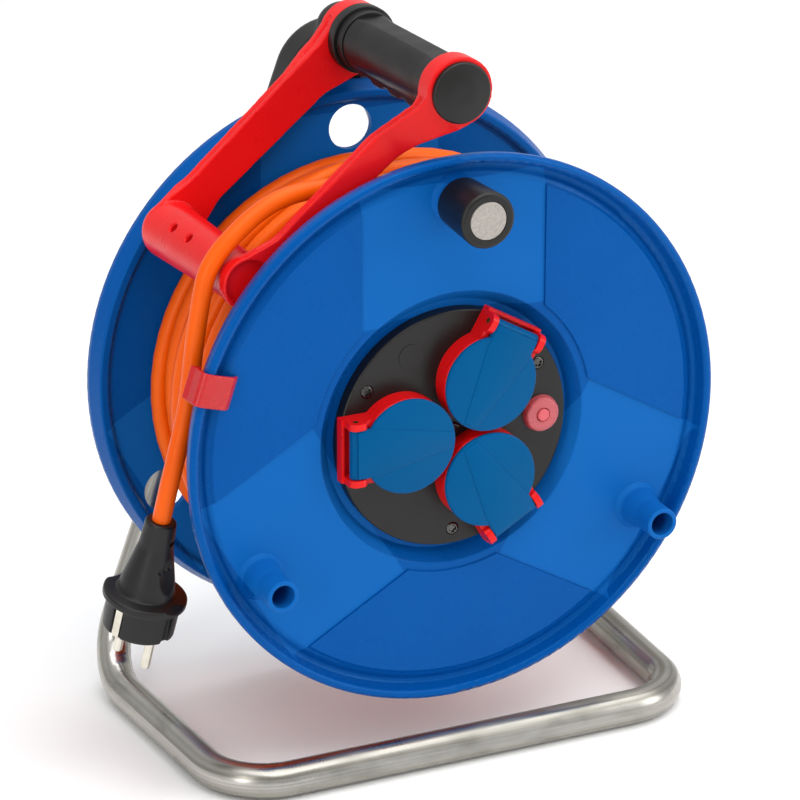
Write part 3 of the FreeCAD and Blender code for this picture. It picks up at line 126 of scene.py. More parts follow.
def start_finish(name):
    material = bpy.data.materials.new(name)
    material.use_nodes = True
    tree = material.node_tree
    tree.nodes.clear()
    out = tree.nodes.new("ShaderNodeOutputMaterial")
    shader = tree.nodes.new("ShaderNodeBsdfPrincipled")
    where = tree.nodes.new("ShaderNodeTexCoord")
    tree.links.new(shader.outputs["BSDF"], out.inputs["Surface"])
    finishes[name] = material
    return tree, shader, where.outputs["Object"]


def noise(tree, where, scale, detail=2.0, stretch=None):
    """Cloudy variation. Scale counts the clouds in a metre."""
    if stretch:
        mapping = tree.nodes.new("ShaderNodeMapping")
        mapping.inputs["Scale"].default_value = stretch
        tree.links.new(where, mapping.inputs["Vector"])
        where = mapping.outputs["Vector"]
    cloud = tree.nodes.new("ShaderNodeTexNoise")
    cloud.inputs["Scale"].default_value = scale
    cloud.inputs["Detail"].default_value = detail
    tree.links.new(where, cloud.inputs["Vector"])
    return cloud.outputs["Fac"]


def spread(tree, value, low, high, start=0.3, end=0.7):
    """Stretch a value from one range to another."""
    step = tree.nodes.new("ShaderNodeMapRange")
    step.inputs["From Min"].default_value = start
    step.inputs["From Max"].default_value = end
    step.inputs["To Min"].default_value = low
    step.inputs["To Max"].default_value = high
    tree.links.new(value, step.inputs["Value"])
    return step.outputs["Result"]


def blend_colours(tree, value, first, second):
    mix = tree.nodes.new("ShaderNodeMix")
    mix.data_type = "RGBA"
    for socket, colour in ((mix.inputs[6], first), (mix.inputs[7], second)):
        if isinstance(colour, tuple):
            socket.default_value = colour
        else:
            tree.links.new(colour, socket)
    tree.links.new(value, mix.inputs["Factor"])
    return mix.outputs[2]


def bumps(tree, shader, height, depth, below=None):
    """Turn a height into a bumpy surface. Depth is in millimetres."""
    bump = tree.nodes.new("ShaderNodeBump")
    bump.inputs["Strength"].default_value = 1.0
    bump.inputs["Distance"].default_value = depth * MM
    tree.links.new(height, bump.inputs["Height"])
    if below is not None:
        tree.links.new(below, bump.inputs["Normal"])
    tree.links.new(bump.outputs["Normal"], shader.inputs["Normal"])
    return bump.outputs["Normal"]


# %% [markdown]
# Moulded plastic is even in colour but never quite flat. It has slow waves where it cooled, a fine
# skin from the tool, and rubbed places that are a little duller. One helper makes that for all the
# plastics of the reel, with their own colour, gloss and grain.

# %% Moulded plastics
def moulded(name, colour, darker, gloss, grain=0.012, wave=0.05, grain_scale=1500.0, shine=0.5,
            sheen=(1.0, 1.0, 1.0)):
    """Grain and wave are depths in millimetres. Sheen is the tint of what the surface mirrors."""
    tree, shader, where = start_finish(name)
    tone = spread(tree, noise(tree, where, 14.0, 3.0), 0.0, 1.0)
    tree.links.new(blend_colours(tree, tone, colour, darker), shader.inputs["Base Color"])
    rubbed = spread(tree, noise(tree, where, 60.0, 6.0), gloss - 0.05, gloss + 0.07)
    tree.links.new(rubbed, shader.inputs["Roughness"])
    slow = bumps(tree, shader, noise(tree, where, 22.0, 1.0), wave)
    bumps(tree, shader, noise(tree, where, grain_scale, 2.0), grain, slow)
    shader.inputs["IOR"].default_value = 1.48
    shader.inputs["Specular IOR Level"].default_value = shine
    shader.inputs["Specular Tint"].default_value = (*sheen, 1.0)
    return tree, shader, where


drum_tree, drum_shader, drum_where = moulded(
    "drum_blue", shade(2, 76, 150), shade(1, 72, 145), 0.27, grain=0.003, wave=0.03, shine=0.30,
    sheen=(0.15, 0.55, 1.0))
moulded("lid_blue", shade(0, 78, 130), shade(0, 72, 122), 0.34, grain=0.015, wave=0.03, shine=0.28,
        sheen=(0.1, 0.6, 1.0))
moulded("signal_red", shade(222, 18, 22), shade(208, 12, 18), 0.30, grain=0.008, shine=0.40,
        sheen=(1.0, 0.6, 0.55))
moulded("black_plastic", shade(19, 17, 16), shade(14, 13, 12), 0.36, grain=0.03,
        grain_scale=2200.0, shine=0.38)
moulded("grey_plastic", shade(150, 152, 154), shade(138, 140, 142), 0.45)
moulded("black_rubber", shade(19, 17, 17), shade(13, 12, 12), 0.40, grain=0.03,
        grain_scale=1800.0, shine=0.38)
moulded("cord_orange", shade(236, 96, 6), shade(224, 82, 3), 0.34, grain=0.012, wave=0.10,
        shine=0.40, sheen=(1.0, 0.7, 0.4))
shader = moulded("cover_pink", shade(240, 120, 128), shade(232, 108, 116), 0.25)[1]
shader.inputs["Transmission Weight"].default_value = 0.5
moulded("button_red", shade(214, 96, 104), shade(204, 84, 92), 0.35)
shader = moulded("clip_red", shade(222, 24, 32), shade(208, 16, 26), 0.26, shine=0.5)[1]
shader.inputs["Transmission Weight"].default_value = 0.35

# %% [markdown]
# Both faces of the drum have three parallel-sided strips, where the moulding tool was left with a
# finer, duller texture than the polished sectors between them. The strips also get a lighter blue,
# which is painted light for the way they catch the light. A mask finds the strips: the
# coordinates are turned to each strip in turn, and tested for how far they lie to its side.

# %% Dull strips on the drum's faces, with painted light
def calculate(tree, operation, first, second=None):
    step = tree.nodes.new("ShaderNodeMath")
    step.operation = operation
    for socket, value in zip(step.inputs, (first, second)):
        if isinstance(value, float):
            socket.default_value = value
        elif value is not None:
            tree.links.new(value, socket)
    return step.outputs[0]


STRIP_HALF, STRIP_FROM, STRIP_TO = 50.3, 60.0, 131.0
on_strip = None
for angle in (90.0, 210.0, 330.0):
    turned = drum_tree.nodes.new("ShaderNodeMapping")
    rad = math.radians(angle)
    turned.inputs["Rotation"].default_value = (0.0, rad, 0.0)
    turned.inputs["Location"].default_value = (
        -AXLE_HEIGHT * MM * math.sin(rad), 0.0, -AXLE_HEIGHT * MM * math.cos(rad))
    drum_tree.links.new(drum_where, turned.inputs["Vector"])
    parts = drum_tree.nodes.new("ShaderNodeSeparateXYZ")
    drum_tree.links.new(turned.outputs["Vector"], parts.inputs["Vector"])
    sideways = calculate(drum_tree, "ABSOLUTE", parts.outputs["Z"])
    inside = calculate(drum_tree, "LESS_THAN", sideways, STRIP_HALF * MM)
    past_start = calculate(drum_tree, "GREATER_THAN", parts.outputs["X"], STRIP_FROM * MM)
    before_end = calculate(drum_tree, "LESS_THAN", parts.outputs["X"], STRIP_TO * MM)
    here = calculate(drum_tree, "MULTIPLY", inside,
                     calculate(drum_tree, "MULTIPLY", past_start, before_end))
    on_strip = here if on_strip is None else calculate(drum_tree, "MAXIMUM", on_strip, here)
smooth_gloss = drum_shader.inputs["Roughness"].links[0].from_socket
duller = calculate(drum_tree, "MULTIPLY", on_strip, 0.16)
drum_tree.links.new(calculate(drum_tree, "ADD", smooth_gloss, duller),
                    drum_shader.inputs["Roughness"])
# Painted light: a lighter blue on the strips, for the way they catch the light.
plain = drum_shader.inputs["Base Color"].links[0].from_socket
strip_painted_light = blend_colours(drum_tree, on_strip, plain, shade(10, 90, 166))
drum_tree.links.new(strip_painted_light, drum_shader.inputs["Base Color"])

# %% [markdown]
# The stand is steel tube with a bright zinc plating, which shows soft streaks along the tube and
# duller patches between them. Its colour reads a map that runs along the tube, so it replaces the
# plain one that every metal starts with. The smaller metal parts are turned, pressed or plated
# steel and brass.

# %% Metals
def metal(name, colour, darker, gloss, scale=180.0, depth=0.01):
    tree, shader, where = start_finish(name)
    tone = spread(tree, noise(tree, where, scale, 4.0), 0.0, 1.0)
    tree.links.new(blend_colours(tree, tone, colour, darker), shader.inputs["Base Color"])
    rubbed = spread(tree, noise(tree, where, scale * 0.6, 5.0), gloss - 0.06, gloss + 0.08)
    tree.links.new(rubbed, shader.inputs["Roughness"])
    shader.inputs["Metallic"].default_value = 1.0
    bumps(tree, shader, noise(tree, where, scale * 4.0, 3.0), depth)
    return tree, shader, where


tree, shader, where = metal("zinc_steel", shade(206, 204, 198), shade(182, 179, 171), 0.30,
                            scale=60.0, depth=0.006)
strip = tree.nodes.new("ShaderNodeUVMap")
strip.uv_map = "along"
drawn = noise(tree, strip.outputs["UV"], 1.0, 3.0, stretch=(14.0, 1.6, 1.0))
streaks = blend_colours(tree, spread(tree, drawn, 0.0, 1.0, 0.35, 0.65), shade(196, 194, 188),
                        shade(138, 134, 124))
patches = noise(tree, strip.outputs["UV"], 1.0, 6.0, stretch=(4.0, 26.0, 1.0))
dulled = blend_colours(tree, spread(tree, patches, 0.0, 0.55, 0.5, 0.72), streaks,
                       shade(104, 102, 92))
tree.links.new(dulled, shader.inputs["Base Color"])
metal("blackened_steel", shade(96, 94, 92), shade(70, 68, 66), 0.22)
metal("bright_steel", shade(214, 214, 214), shade(196, 196, 196), 0.22)
metal("silver_disc", shade(176, 170, 164), shade(158, 152, 146), 0.36, scale=700.0)
metal("plated_brass", shade(224, 220, 208), shade(204, 198, 184), 0.20)
metal("brass", shade(216, 178, 96), shade(196, 156, 76), 0.26)
print("finishes:", len(finishes))

# %% [markdown]
# Each solid takes the finish that the table below lists it under. A solid keeps its own mesh,
# and only the material in its object's slot changes.

# %% Finishes on the solids
WEARS = {
    "drum_blue": ("front_flange", "rear_flange", "drum_barrel"),
    "lid_blue": ("lid_a", "lid_b", "lid_c"),
    "signal_red": ("socket_housing_a", "socket_housing_b", "socket_housing_c", "cable_guide"),
    "clip_red": ("cable_clip",),
    "black_plastic": ("socket_plate", "crank_knob", "end_cap", "handle_housing", "axle_bracket",
                      "leg_clamps", "breaker_body"),
    "grey_plastic": ("socket_carrier", "cord_gland", "axle_insert", "knob_spindle"),
    "black_rubber": ("grip", "grip_collar", "plug_body"),
    "cord_orange": ("cord_free", "winding", "winding_core", "cord_inner_end"),
    "zinc_steel": ("stand_tube",),
    "bright_steel": ("axle", "axle_bolt", "axle_washer", "handle_core", "lid_springs",
                     "drum_screws", "bracket_screws", "housing_screws"),
    "blackened_steel": ("plate_screws",),
    "silver_disc": ("knob_disc",),
    "plated_brass": ("plug_pins", "plug_earth_strips"),
    "brass": ("contact_bushes", "earth_clips", "hinge_pins"),
    "cover_pink": ("button_cover",),
    "button_red": ("reset_button",),
}


def wear(obj, finish):
    if not obj.material_slots:
        obj.data.materials.append(None)
    for slot in obj.material_slots:
        slot.material = finishes[finish]


for finish, names in WEARS.items():
    for name in names:
        wear(nodes[name], finish)
print("dressed:", sum(len(names) for names in WEARS.values()), "of", len(nodes))

# %% [markdown]
# The cord comes off the drum at the top left, runs over the outside of the red bar and down past
# the clip on the rim, and carries the plug at its end. It is one flexible length, so it is one
# smooth spline through a few control points, with a round section.

# %% Free cord
CORD_D = 9.6
CORD_ROUTE = (
    (-0.0260, -0.0315, 0.3003), (-0.0360, -0.031367, 0.3019), (-0.0525, -0.0316, 0.3034),
    (-0.0690, -0.0322, 0.3039), (-0.0845, -0.0336, 0.3017), (-0.0975, -0.0358, 0.2961),
    (-0.1086, -0.0380, 0.2891), (-0.1183, -0.0392, 0.2811), (-0.1247, -0.0397, 0.2715),
    (-0.1274, -0.0398, 0.2587), (-0.1299, -0.0401, 0.2459), (-0.1322, -0.0407, 0.2331),
    (-0.1340, -0.0414, 0.2195), (-0.1368, -0.0422, 0.2045), (-0.1410, -0.0433, 0.1895),
    (-0.1452, -0.0441, 0.1750), (-0.148711, -0.043406, 0.160689), (-0.1508, -0.0410, 0.1472),
)


def round_curve(name, points, kind, sides=6):
    """A length of cord through some places, straight between them (POLY) or smooth (NURBS)."""
    curve = bpy.data.curves.new(name, "CURVE")
    curve.dimensions = "3D"
    curve.bevel_depth = CORD_D / 2 * MM
    curve.bevel_resolution = sides
    curve.use_fill_caps = True
    spline = curve.splines.new(kind)
    spline.points.add(len(points) - 1)
    for point, spot in zip(spline.points, points):
        point.co = (*spot, 1.0)
    if kind == "NURBS":
        curve.resolution_u = 12
        spline.order_u = 3
        spline.use_endpoint_u = True
    spline.use_smooth = True
    obj = bpy.data.objects.new(name, curve)
    bpy.context.scene.collection.objects.link(obj)
    curve.materials.append(finishes["cord_orange"])
    return obj


free_cord = round_curve("cord_lead", CORD_ROUTE, "NURBS")
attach(free_cord, "stand")
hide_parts("cord_free")
print("free cord:", len(CORD_ROUTE), "control points")

# %% [markdown]
# On the drum the cord lies in a close layer towards the rear, and its last turns were thrown on
# loosely and cross over the front of that layer. The winding follows the places that the solid
# has at every quarter turn. Between them the radius and the way forward change smoothly with the
# angle, so it is enough to interpolate those two numbers and go round.

# %% Winding
LAYER_R = 0.731 * 145.0
FIRST_ANGLE, FRONT_TURN, REAR_TURN = 130.0, 14.75, 122.25
LOOSE_REAR, LOOSE_FRONT = 97.25, 33.6
# Each loose quarter turn: how high it stands over the layer, and its share of the way forward.
LOOSE = ((10.1, 0.0), (10.4, 0.205), (10.1, 0.262), (10.5, 0.31), (10.1, 0.371), (10.3, 0.425),
         (10.6, 0.472), (10.1, 0.536), (10.3, 0.59), (10.4, 0.638), (10.2, 0.698), (10.3, 0.8),
         (10.3, 0.935))
LIFT_OFF = ((27.0, 33.4, 113.3), (8.5, 33.0, 117.7), (-11.0, 33.3, 121.4), (-26.0, 33.5, 123.8))
CLOSE_QUARTERS, STEPS, LEAVE_STEPS, LIFT_STEPS = 40, 15, 8, 6
quarters = [(FIRST_ANGLE + 90.0 * k, LAYER_R,
             FRONT_TURN + (REAR_TURN - FRONT_TURN) * k / CLOSE_QUARTERS)
            for k in range(CLOSE_QUARTERS + 1)]
last = quarters[-1][0]
quarters += [(last + 90.0, LAYER_R + 7.2, REAR_TURN),
             (last + 180.0, LAYER_R + 10.1, REAR_TURN - 3.3)]
quarters += [(last + 270.0 + 90.0 * k, LAYER_R + high,
              LOOSE_REAR - (LOOSE_REAR - LOOSE_FRONT) * share)
             for k, (high, share) in enumerate(LOOSE)]


def smooth_between(values, index, part):
    """The value part of the way to the next station, on a smooth curve through its neighbours."""
    a, b = values[max(index - 1, 0)], values[index]
    c, d = values[index + 1], values[min(index + 2, len(values) - 1)]
    return 0.5 * (2 * b + (c - a) * part + (2 * a - 5 * b + 4 * c - d) * part ** 2
                  + (3 * b - a - 3 * c + d) * part ** 3)


wound = []
radii = [q[1] for q in quarters]
depths = [q[2] for q in quarters]
for k in range(len(quarters) - 1):
    for step in range(STEPS):
        part = step / STEPS
        wound.append(around(smooth_between(radii, k, part), quarters[k][0] + 90.0 * part,
                            smooth_between(depths, k, part)))
wound.append(around(radii[-1], quarters[-1][0], depths[-1]))
lift = [place(*p) for p in LIFT_OFF]
leave = (lift[1] - lift[0]).normalized()
end = lift[0] - leave * CORD_D * MM
start, start_way = wound[-1], (wound[-1] - wound[-2]).normalized()
reach = (end - start).length
for step in range(1, LEAVE_STEPS + 1):
    t = step / LEAVE_STEPS
    wound.append(start * (2 * t ** 3 - 3 * t ** 2 + 1)
                 + start_way * reach * (t ** 3 - 2 * t ** 2 + t)
                 + end * (3 * t ** 2 - 2 * t ** 3) + leave * reach * (t ** 3 - t ** 2))
off = [end] + lift + [lift[-1] * 2 - lift[-2]]
for k in range(len(lift)):
    for step in range(1, LIFT_STEPS + 1):
        part = step / LIFT_STEPS
        wound.append(Vector([smooth_between([p[i] for p in off], k, part) for i in range(3)]))
winding = round_curve("cord_turns", wound, "POLY", sides=5)
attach(winding, "drum")
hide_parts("winding")
print("winding:", len(wound), "points, gap at the last quarter", round(reach / MM, 1), "mm")

# %% [markdown]
# Under the close layer lie the older turns, wound the other way across the barrel. Only slits of
# them show between the turns above, so one more layer of the same cord is enough, and the cord's
# inner end comes up through its gland beside them.

# %% Turns underneath
UNDER_R = LAYER_R - CORD_D - 0.1
UNDER_TURNS, STEPS_ROUND, UNDER_START = 11, 48, 40.0
GLAND_ANGLE, GLAND_Y = 270.0, 72.0
count = UNDER_TURNS * STEPS_ROUND
under = [around(UNDER_R, UNDER_START - 360.0 * UNDER_TURNS * (step / count),
                FRONT_TURN + (REAR_TURN - FRONT_TURN) * (step / count))
         for step in range(count + 1)]
older_turns = round_curve("cord_older_turns", under, "POLY", sides=3)
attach(older_turns, "drum")
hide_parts("winding_core")
tail = [around(r, GLAND_ANGLE, GLAND_Y) for r in (44.3, 52.0, 62.0, 72.9)]
inner_end = round_curve("cord_tail", tail, "POLY")
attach(inner_end, "drum")
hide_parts("cord_inner_end")
print("older turns:", UNDER_TURNS, "of radius", round(UNDER_R, 1), "mm")

# %% [markdown]
# Moulded pieces have no sharp edges, and where an arm runs into a bar the plastic flows together in
# a wide fillet. A way to get both is to take a merged copy of the solid and cover it with a fresh
# skin of small squares that smoothing then rounds. The tool is the voxel remesh. Small grooves and
# dots are pressed into the finished skin: each vertex near them moves inwards, least at their edge.
# Where they lie is found by looking at the skin along a straight line from outside.

# %% A helper that rounds a moulding
skins = {}


def rounded_moulding(name, source, body, slot, voxel, passes):
    """A rounded copy of a solid. Voxel is in millimetres, and passes counts the smoothing."""
    mesh = nodes[source].data.copy()
    obj = bpy.data.objects.new(name, mesh)
    bpy.context.scene.collection.objects.link(obj)
    pick(obj)
    bpy.ops.object.mode_set(mode="EDIT")
    bpy.ops.mesh.select_all(action="SELECT")
    bpy.ops.mesh.remove_doubles(threshold=0.000005)
    bpy.ops.object.mode_set(mode="OBJECT")
    skin = obj.modifiers.new("skin", "REMESH")
    skin.mode = "VOXEL"
    skin.voxel_size = voxel * MM
    bpy.ops.object.modifier_apply(modifier=skin.name)
    soft = obj.modifiers.new("soft", "SMOOTH")
    soft.factor = 0.5
    soft.iterations = passes
    bpy.ops.object.modifier_apply(modifier=soft.name)
    bpy.ops.object.shade_smooth()
    obj.data.materials.clear()
    obj.data.materials.append(finishes[slot])
    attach(obj, body)
    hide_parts(source)
    print(name, "faces", len(obj.data.polygons))
    return obj


def skin_place(obj, outside, towards):
    """Where a straight line from outside first meets a piece."""
    if obj.name not in skins:
        spots = [vertex.co.copy() for vertex in obj.data.vertices]
        faces = [tuple(face.vertices) for face in obj.data.polygons]
        skins[obj.name] = BVHTree.FromPolygons(spots, faces)
    return skins[obj.name].ray_cast(outside, (towards - outside).normalized())[0]


def press(obj, places, width, depth):
    """Press a line of places into a skin. Width, to each side, and depth are in millimetres."""
    tree = KDTree(len(places))
    for index, spot in enumerate(places):
        tree.insert(spot, index)
    tree.balance()
    moves = []
    for vertex in obj.data.vertices:
        far = tree.find(vertex.co)[2] / MM
        if far < width:
            share = min(1.0, 2.0 * (1 - (far / width) ** 2))
            moves.append((vertex, vertex.normal * (depth * MM * share)))
    for vertex, move in moves:
        vertex.co -= move
    print("pressed", len(moves), "vertices of", obj.name)


# %% [markdown]
# The red frame is one moulding: two clamping rings round the handle, a flat arm from each, and the
# bar that the cord runs over. Each arm has a groove along the middle of its upper edge, which
# shows as a dark line between two bright rims. The handle group leans back a little on its tube, so
# places on the frame are worked out upright and tipped with it.

# %% Red guide frame
GRIP_AXIS = 178.0
GUIDE_BAR = (-106.2, 91.3)
reach_x, reach_z = GUIDE_BAR[0], GUIDE_BAR[1] - GRIP_AXIS
guide_length = math.hypot(reach_x, reach_z)
along = (reach_x / guide_length, reach_z / guide_length)
tip = math.radians(-2.4)
# Where the looks start, above an arm and beside it, and how far under the edge its sides are found.
LOOK_FROM, BESIDE, UNDER_EDGE = 60.0, 20.0, 1.6


def on_arm(run, offset, y):
    """A place on the frame: how far it is from the handle to the bar, how far up, and its y."""
    x = along[0] * run + along[1] * offset
    z = GRIP_AXIS + along[1] * run - along[0] * offset
    dy, dz = y, z - GRIP_AXIS
    return place(x, dy * math.cos(tip) - dz * math.sin(tip),
                 GRIP_AXIS + dy * math.sin(tip) + dz * math.cos(tip))


def edge_place(run, y):
    """The middle of the arm's upper edge. It starts from a guess at y, and measures the arm's two
    sides just under the edge to centre it."""
    for again in range(3):
        top_edge = skin_place(guide, on_arm(run, LOOK_FROM, y), on_arm(run, 0.0, y))
        inside = top_edge + (on_arm(run, -UNDER_EDGE, y) - on_arm(run, 0.0, y))
        outward = on_arm(run, 0.0, y + 1.0) - on_arm(run, 0.0, y)
        front = skin_place(guide, inside - outward * BESIDE, inside)
        rear = skin_place(guide, inside + outward * BESIDE, inside)
        off_centre = (front - inside).dot(outward) + (rear - inside).dot(outward)
        y += off_centre / 2 / outward.length_squared
    return top_edge


guide = rounded_moulding("guide_frame", "cable_guide", "stand", "signal_red", voxel=0.62, passes=3)
# For each arm: where its groove starts and ends, and the arm's middle at the ring and beyond it.
ARM_GROOVES = ((16.0, 122.0, 6.0, 20.5), (4.0, 124.0, 122.0, 120.6))
RING_END, ARM_START = 8.0, 42.0
STATIONS = 260
for first, last, y_first, y_last in ARM_GROOVES:
    groove = []
    for k in range(STATIONS + 1):
        run = first + (last - first) * k / STATIONS
        share = min(1.0, max(0.0, (run - RING_END) / (ARM_START - RING_END)))
        groove.append(edge_place(run, y_first + (y_last - y_first) * share))
    for again in range(6):
        middle = [(groove[k - 1] + groove[k] * 2 + groove[k + 1]) / 4 for k in range(1, STATIONS)]
        groove = [groove[0]] + middle + [groove[-1]]
    print("groove from", [round(v, 4) for v in groove[0]], "to", [round(v, 4) for v in groove[-1]])
    press(guide, groove, width=1.35, depth=2.0)

# %% [markdown]
# The grip is a rubber sleeve with four finger waves and a flat along its top. The housing behind
# the drum is an arch with broad fillets, and the clip on the front rim is a bent strip. All three
# are soft-edged mouldings, so the same helper rounds them. The flat is made by setting the grip
# upright and bringing down every vertex that stands above it.

# %% Handle
grip = rounded_moulding("grip_sleeve", "grip", "stand", "black_rubber", voxel=0.7, passes=5)
pivot = place(0, 0, GRIP_AXIS)
upright = Matrix.Rotation(-tip, 4, "X") @ Matrix.Translation(-pivot)
grip.data.transform(upright)
FLAT_SHARE = 0.885
flat = FLAT_SHARE * max(v.co.z for v in grip.data.vertices)
for vertex in grip.data.vertices:
    vertex.co.z = min(vertex.co.z, flat)
grip.data.transform(upright.inverted())
rounded_moulding("rear_housing", "handle_housing", "stand", "black_plastic", voxel=0.8, passes=3)
clip = rounded_moulding("rim_clip", "cable_clip", "drum", "signal_red", voxel=0.4, passes=2)
clip.data.materials[0] = finishes["clip_red"]

# %% [markdown]
# The plug hangs from the cord with a lean. Its body has a finger dimple on each side, with three
# little dots to feel, and a slot higher up that lets the sleeve bend. Their places are given in the
# plug's own upright frame, and one matrix carries them to where the plug hangs.

# %% Plug body
hang = (Matrix.Translation(Vector(CORD_ROUTE[-1])) @ Matrix.Rotation(math.radians(8.8), 4, "Y")
        @ Matrix.Rotation(math.radians(10.0), 4, "X")
        @ Matrix.Rotation(math.radians(-63.5), 4, "Z"))


def on_plug(x, y, z):
    return hang @ Vector((x * MM, y * MM, z * MM))


plug = rounded_moulding("plug_shell", "plug_body", "stand", "black_rubber", voxel=0.5, passes=3)
DOTS = ((-4.7, -24.0), (-1.2, -23.7), (2.3, -23.4))
SLIT = ((1.0, -10.0), (1.8, -10.0), (2.6, -10.0), (3.4, -10.0), (4.2, -10.0))
for facing in (-1, 1):
    dots, slit = ([skin_place(plug, on_plug(facing * 30, across * facing, down),
                              on_plug(0, across * facing, down)) for across, down in marks]
                  for marks in (DOTS, SLIT))
    for dot in dots:
        press(plug, [dot], width=1.1, depth=1.2)
    press(plug, slit, width=1.1, depth=1.3)

# %% [markdown]
# Each socket has a sprung lid: a round cap with a soft edge, a tongue that runs to the hinge
# barrel, and a raised band that widens towards the hinge. It is modelled once, flat on the first
# socket's radius, from primitives: a disc whose rim gets a bevel, a block for the tongue, a
# barrel, and a second thin plate for the band. Copies are then turned about the axle.

# %% Socket lids
SOCKET_CIRCLE, HINGE_REACH, HINGE_Y = 29.8, 28.2, -3.6
LID_FRONT, LID_REAR, LID_THICK, LID_R = -7.4, -4.7, 2.7, 25.0
BARREL_R, TONGUE_HALF, BAND_HALF, BAND_TIP = 3.2, 13.0, 12.4, 4.0
TONGUE_START, BAND_START, BAND_WIDE, BAND_OVER = 14.0, 23.4, 17.0, 0.4
SHELL_HALF, SHELL_LAP, SHELL_WALL = 4.2, 0.2, 0.45


def edit_all(obj):
    pick(obj)
    bpy.ops.object.mode_set(mode="EDIT")
    bpy.ops.mesh.select_all(action="SELECT")


def soften(obj, width, segments):
    """Bevel the sharp edges of a piece. Width is in millimetres."""
    soft = obj.modifiers.new("edge", "BEVEL")
    soft.width = width * MM
    soft.segments = segments
    soft.limit_method = "ANGLE"
    bpy.ops.object.modifier_apply(modifier=soft.name)
    return obj


def cylinder(middle, radius, length, corners, **more):
    """A cylinder, in millimetres, that keeps no turn or scale of its own."""
    bpy.ops.mesh.primitive_cylinder_add(vertices=corners, radius=radius * MM, depth=length * MM,
                                        location=middle, **more)
    bpy.ops.object.transform_apply(location=True, rotation=True, scale=True)
    return bpy.context.object


def lid_cap():
    middle = place(SOCKET_CIRCLE, (LID_FRONT + LID_REAR) / 2, 0)
    cap = cylinder(middle, LID_R, LID_THICK, 96, rotation=(math.radians(90), 0, 0))
    return soften(cap, width=1.1, segments=4)


def plate(corners, y_front, y_rear, edge):
    """A flat plate from its outline, with a small bevel all round."""
    bpy.ops.mesh.primitive_circle_add(vertices=len(corners), radius=0.01, fill_type="NGON")
    flat = bpy.context.object
    for vertex, (x, z) in zip(flat.data.vertices, corners):
        vertex.co = place(x, y_rear, z)
    flat.location = (0, 0, 0)
    edit_all(flat)
    forward = (0, (y_front - y_rear) * MM, 0)
    bpy.ops.mesh.extrude_region_move(TRANSFORM_OT_translate={"value": forward})
    bpy.ops.mesh.select_all(action="SELECT")
    bpy.ops.mesh.normals_make_consistent(inside=False)
    bpy.ops.object.mode_set(mode="OBJECT")
    return soften(flat, edge, segments=3)


def barrel(z0, z1):
    roll = cylinder(place(hinge, HINGE_Y, (z0 + z1) / 2), BARREL_R, z1 - z0, 40)
    return soften(roll, width=0.3, segments=2)


def barrel_shell(z0, z1):
    """The hollow middle of the barrel, which covers the spring."""
    shell = cylinder(place(hinge, HINGE_Y, (z0 + z1) / 2), BARREL_R, z1 - z0, 40,
                     end_fill_type="NOTHING")
    wall = shell.modifiers.new("wall", "SOLIDIFY")
    wall.thickness = SHELL_WALL * MM
    wall.offset = -1.0
    bpy.ops.object.modifier_apply(modifier=wall.name)
    return shell


centre, hinge = SOCKET_CIRCLE, SOCKET_CIRCLE + HINGE_REACH
pieces_of_lid = [
    lid_cap(),
    plate(((centre + TONGUE_START, -TONGUE_HALF), (hinge, -TONGUE_HALF), (hinge, TONGUE_HALF),
           (centre + TONGUE_START, TONGUE_HALF)), LID_FRONT + 0.02, LID_REAR + 0.01, edge=0.5),
    plate(((centre - BAND_START, -BAND_TIP), (centre + BAND_WIDE, -BAND_HALF),
           (hinge + BAND_OVER, -BAND_HALF), (hinge + BAND_OVER, BAND_HALF),
           (centre + BAND_WIDE, BAND_HALF), (centre - BAND_START, BAND_TIP)),
          LID_FRONT - 0.4, LID_FRONT + 0.9, edge=0.35),
    barrel(-TONGUE_HALF, -SHELL_HALF), barrel(SHELL_HALF, TONGUE_HALF),
    barrel_shell(-SHELL_HALF - SHELL_LAP, SHELL_HALF + SHELL_LAP),
]
pick(*pieces_of_lid)
bpy.ops.object.join()
lid = bpy.context.object
pick(lid)
bpy.ops.object.shade_smooth_by_angle(angle=math.radians(35))
lid.data.materials.clear()
lid.data.materials.append(finishes["lid_blue"])
SOCKETS = (("a", "lid_left", 180.0), ("b", "lid_upper", 60.0), ("c", "lid_lower", -60.0))
axle = place(0, 0, 0)
for number, (letter, body, angle) in enumerate(SOCKETS):
    one = lid if number == 2 else bpy.data.objects.new("lid", lid.data.copy())
    if number < 2:
        bpy.context.scene.collection.objects.link(one)
    one.name = "lid_cover_" + letter
    turn = Matrix.Rotation(-math.radians(angle), 4, "Y")
    one.data.transform(Matrix.Translation(axle) @ turn @ Matrix.Translation(-axle))
    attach(one, body)
    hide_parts("lid_" + letter)
print("lid faces:", len(lid.data.polygons))

# %% [markdown]
# On the black plate is a small round pad: a thin raised ring round a shallow disc. It starts as a
# circle that is extruded. Its front face is then inset twice, once downwards and once up again.

# %% Round pad on the plate
PAD_X, PAD_Z, PAD_R, PAD_CORNERS = -23.1, 41.8, 6.9, 48
PAD_FRONT, PAD_REAR = 5.72, 6.2
PAD_RING, PAD_SLOPE, PAD_SINK, PAD_RISE = 0.7, 1.6, 0.18, 0.10
steps = [math.radians(360.0 / PAD_CORNERS * k) for k in range(PAD_CORNERS)]
corners = [(PAD_X + PAD_R * math.cos(step), PAD_Z + PAD_R * math.sin(step)) for step in steps]
pad = plate(corners, PAD_FRONT, PAD_REAR, edge=0.12)
edit_all(pad)
bpy.ops.mesh.select_all(action="DESELECT")
bpy.ops.object.mode_set(mode="OBJECT")
front_face = min(pad.data.polygons, key=lambda face: face.center.y - face.area * 100)
front_face.select = True
bpy.ops.object.mode_set(mode="EDIT")
bpy.ops.mesh.select_mode(type="FACE")
bpy.ops.mesh.inset(thickness=PAD_RING * MM, depth=-PAD_SINK * MM)
bpy.ops.mesh.inset(thickness=PAD_SLOPE * MM, depth=PAD_RISE * MM)
bpy.ops.object.mode_set(mode="OBJECT")
pick(pad)
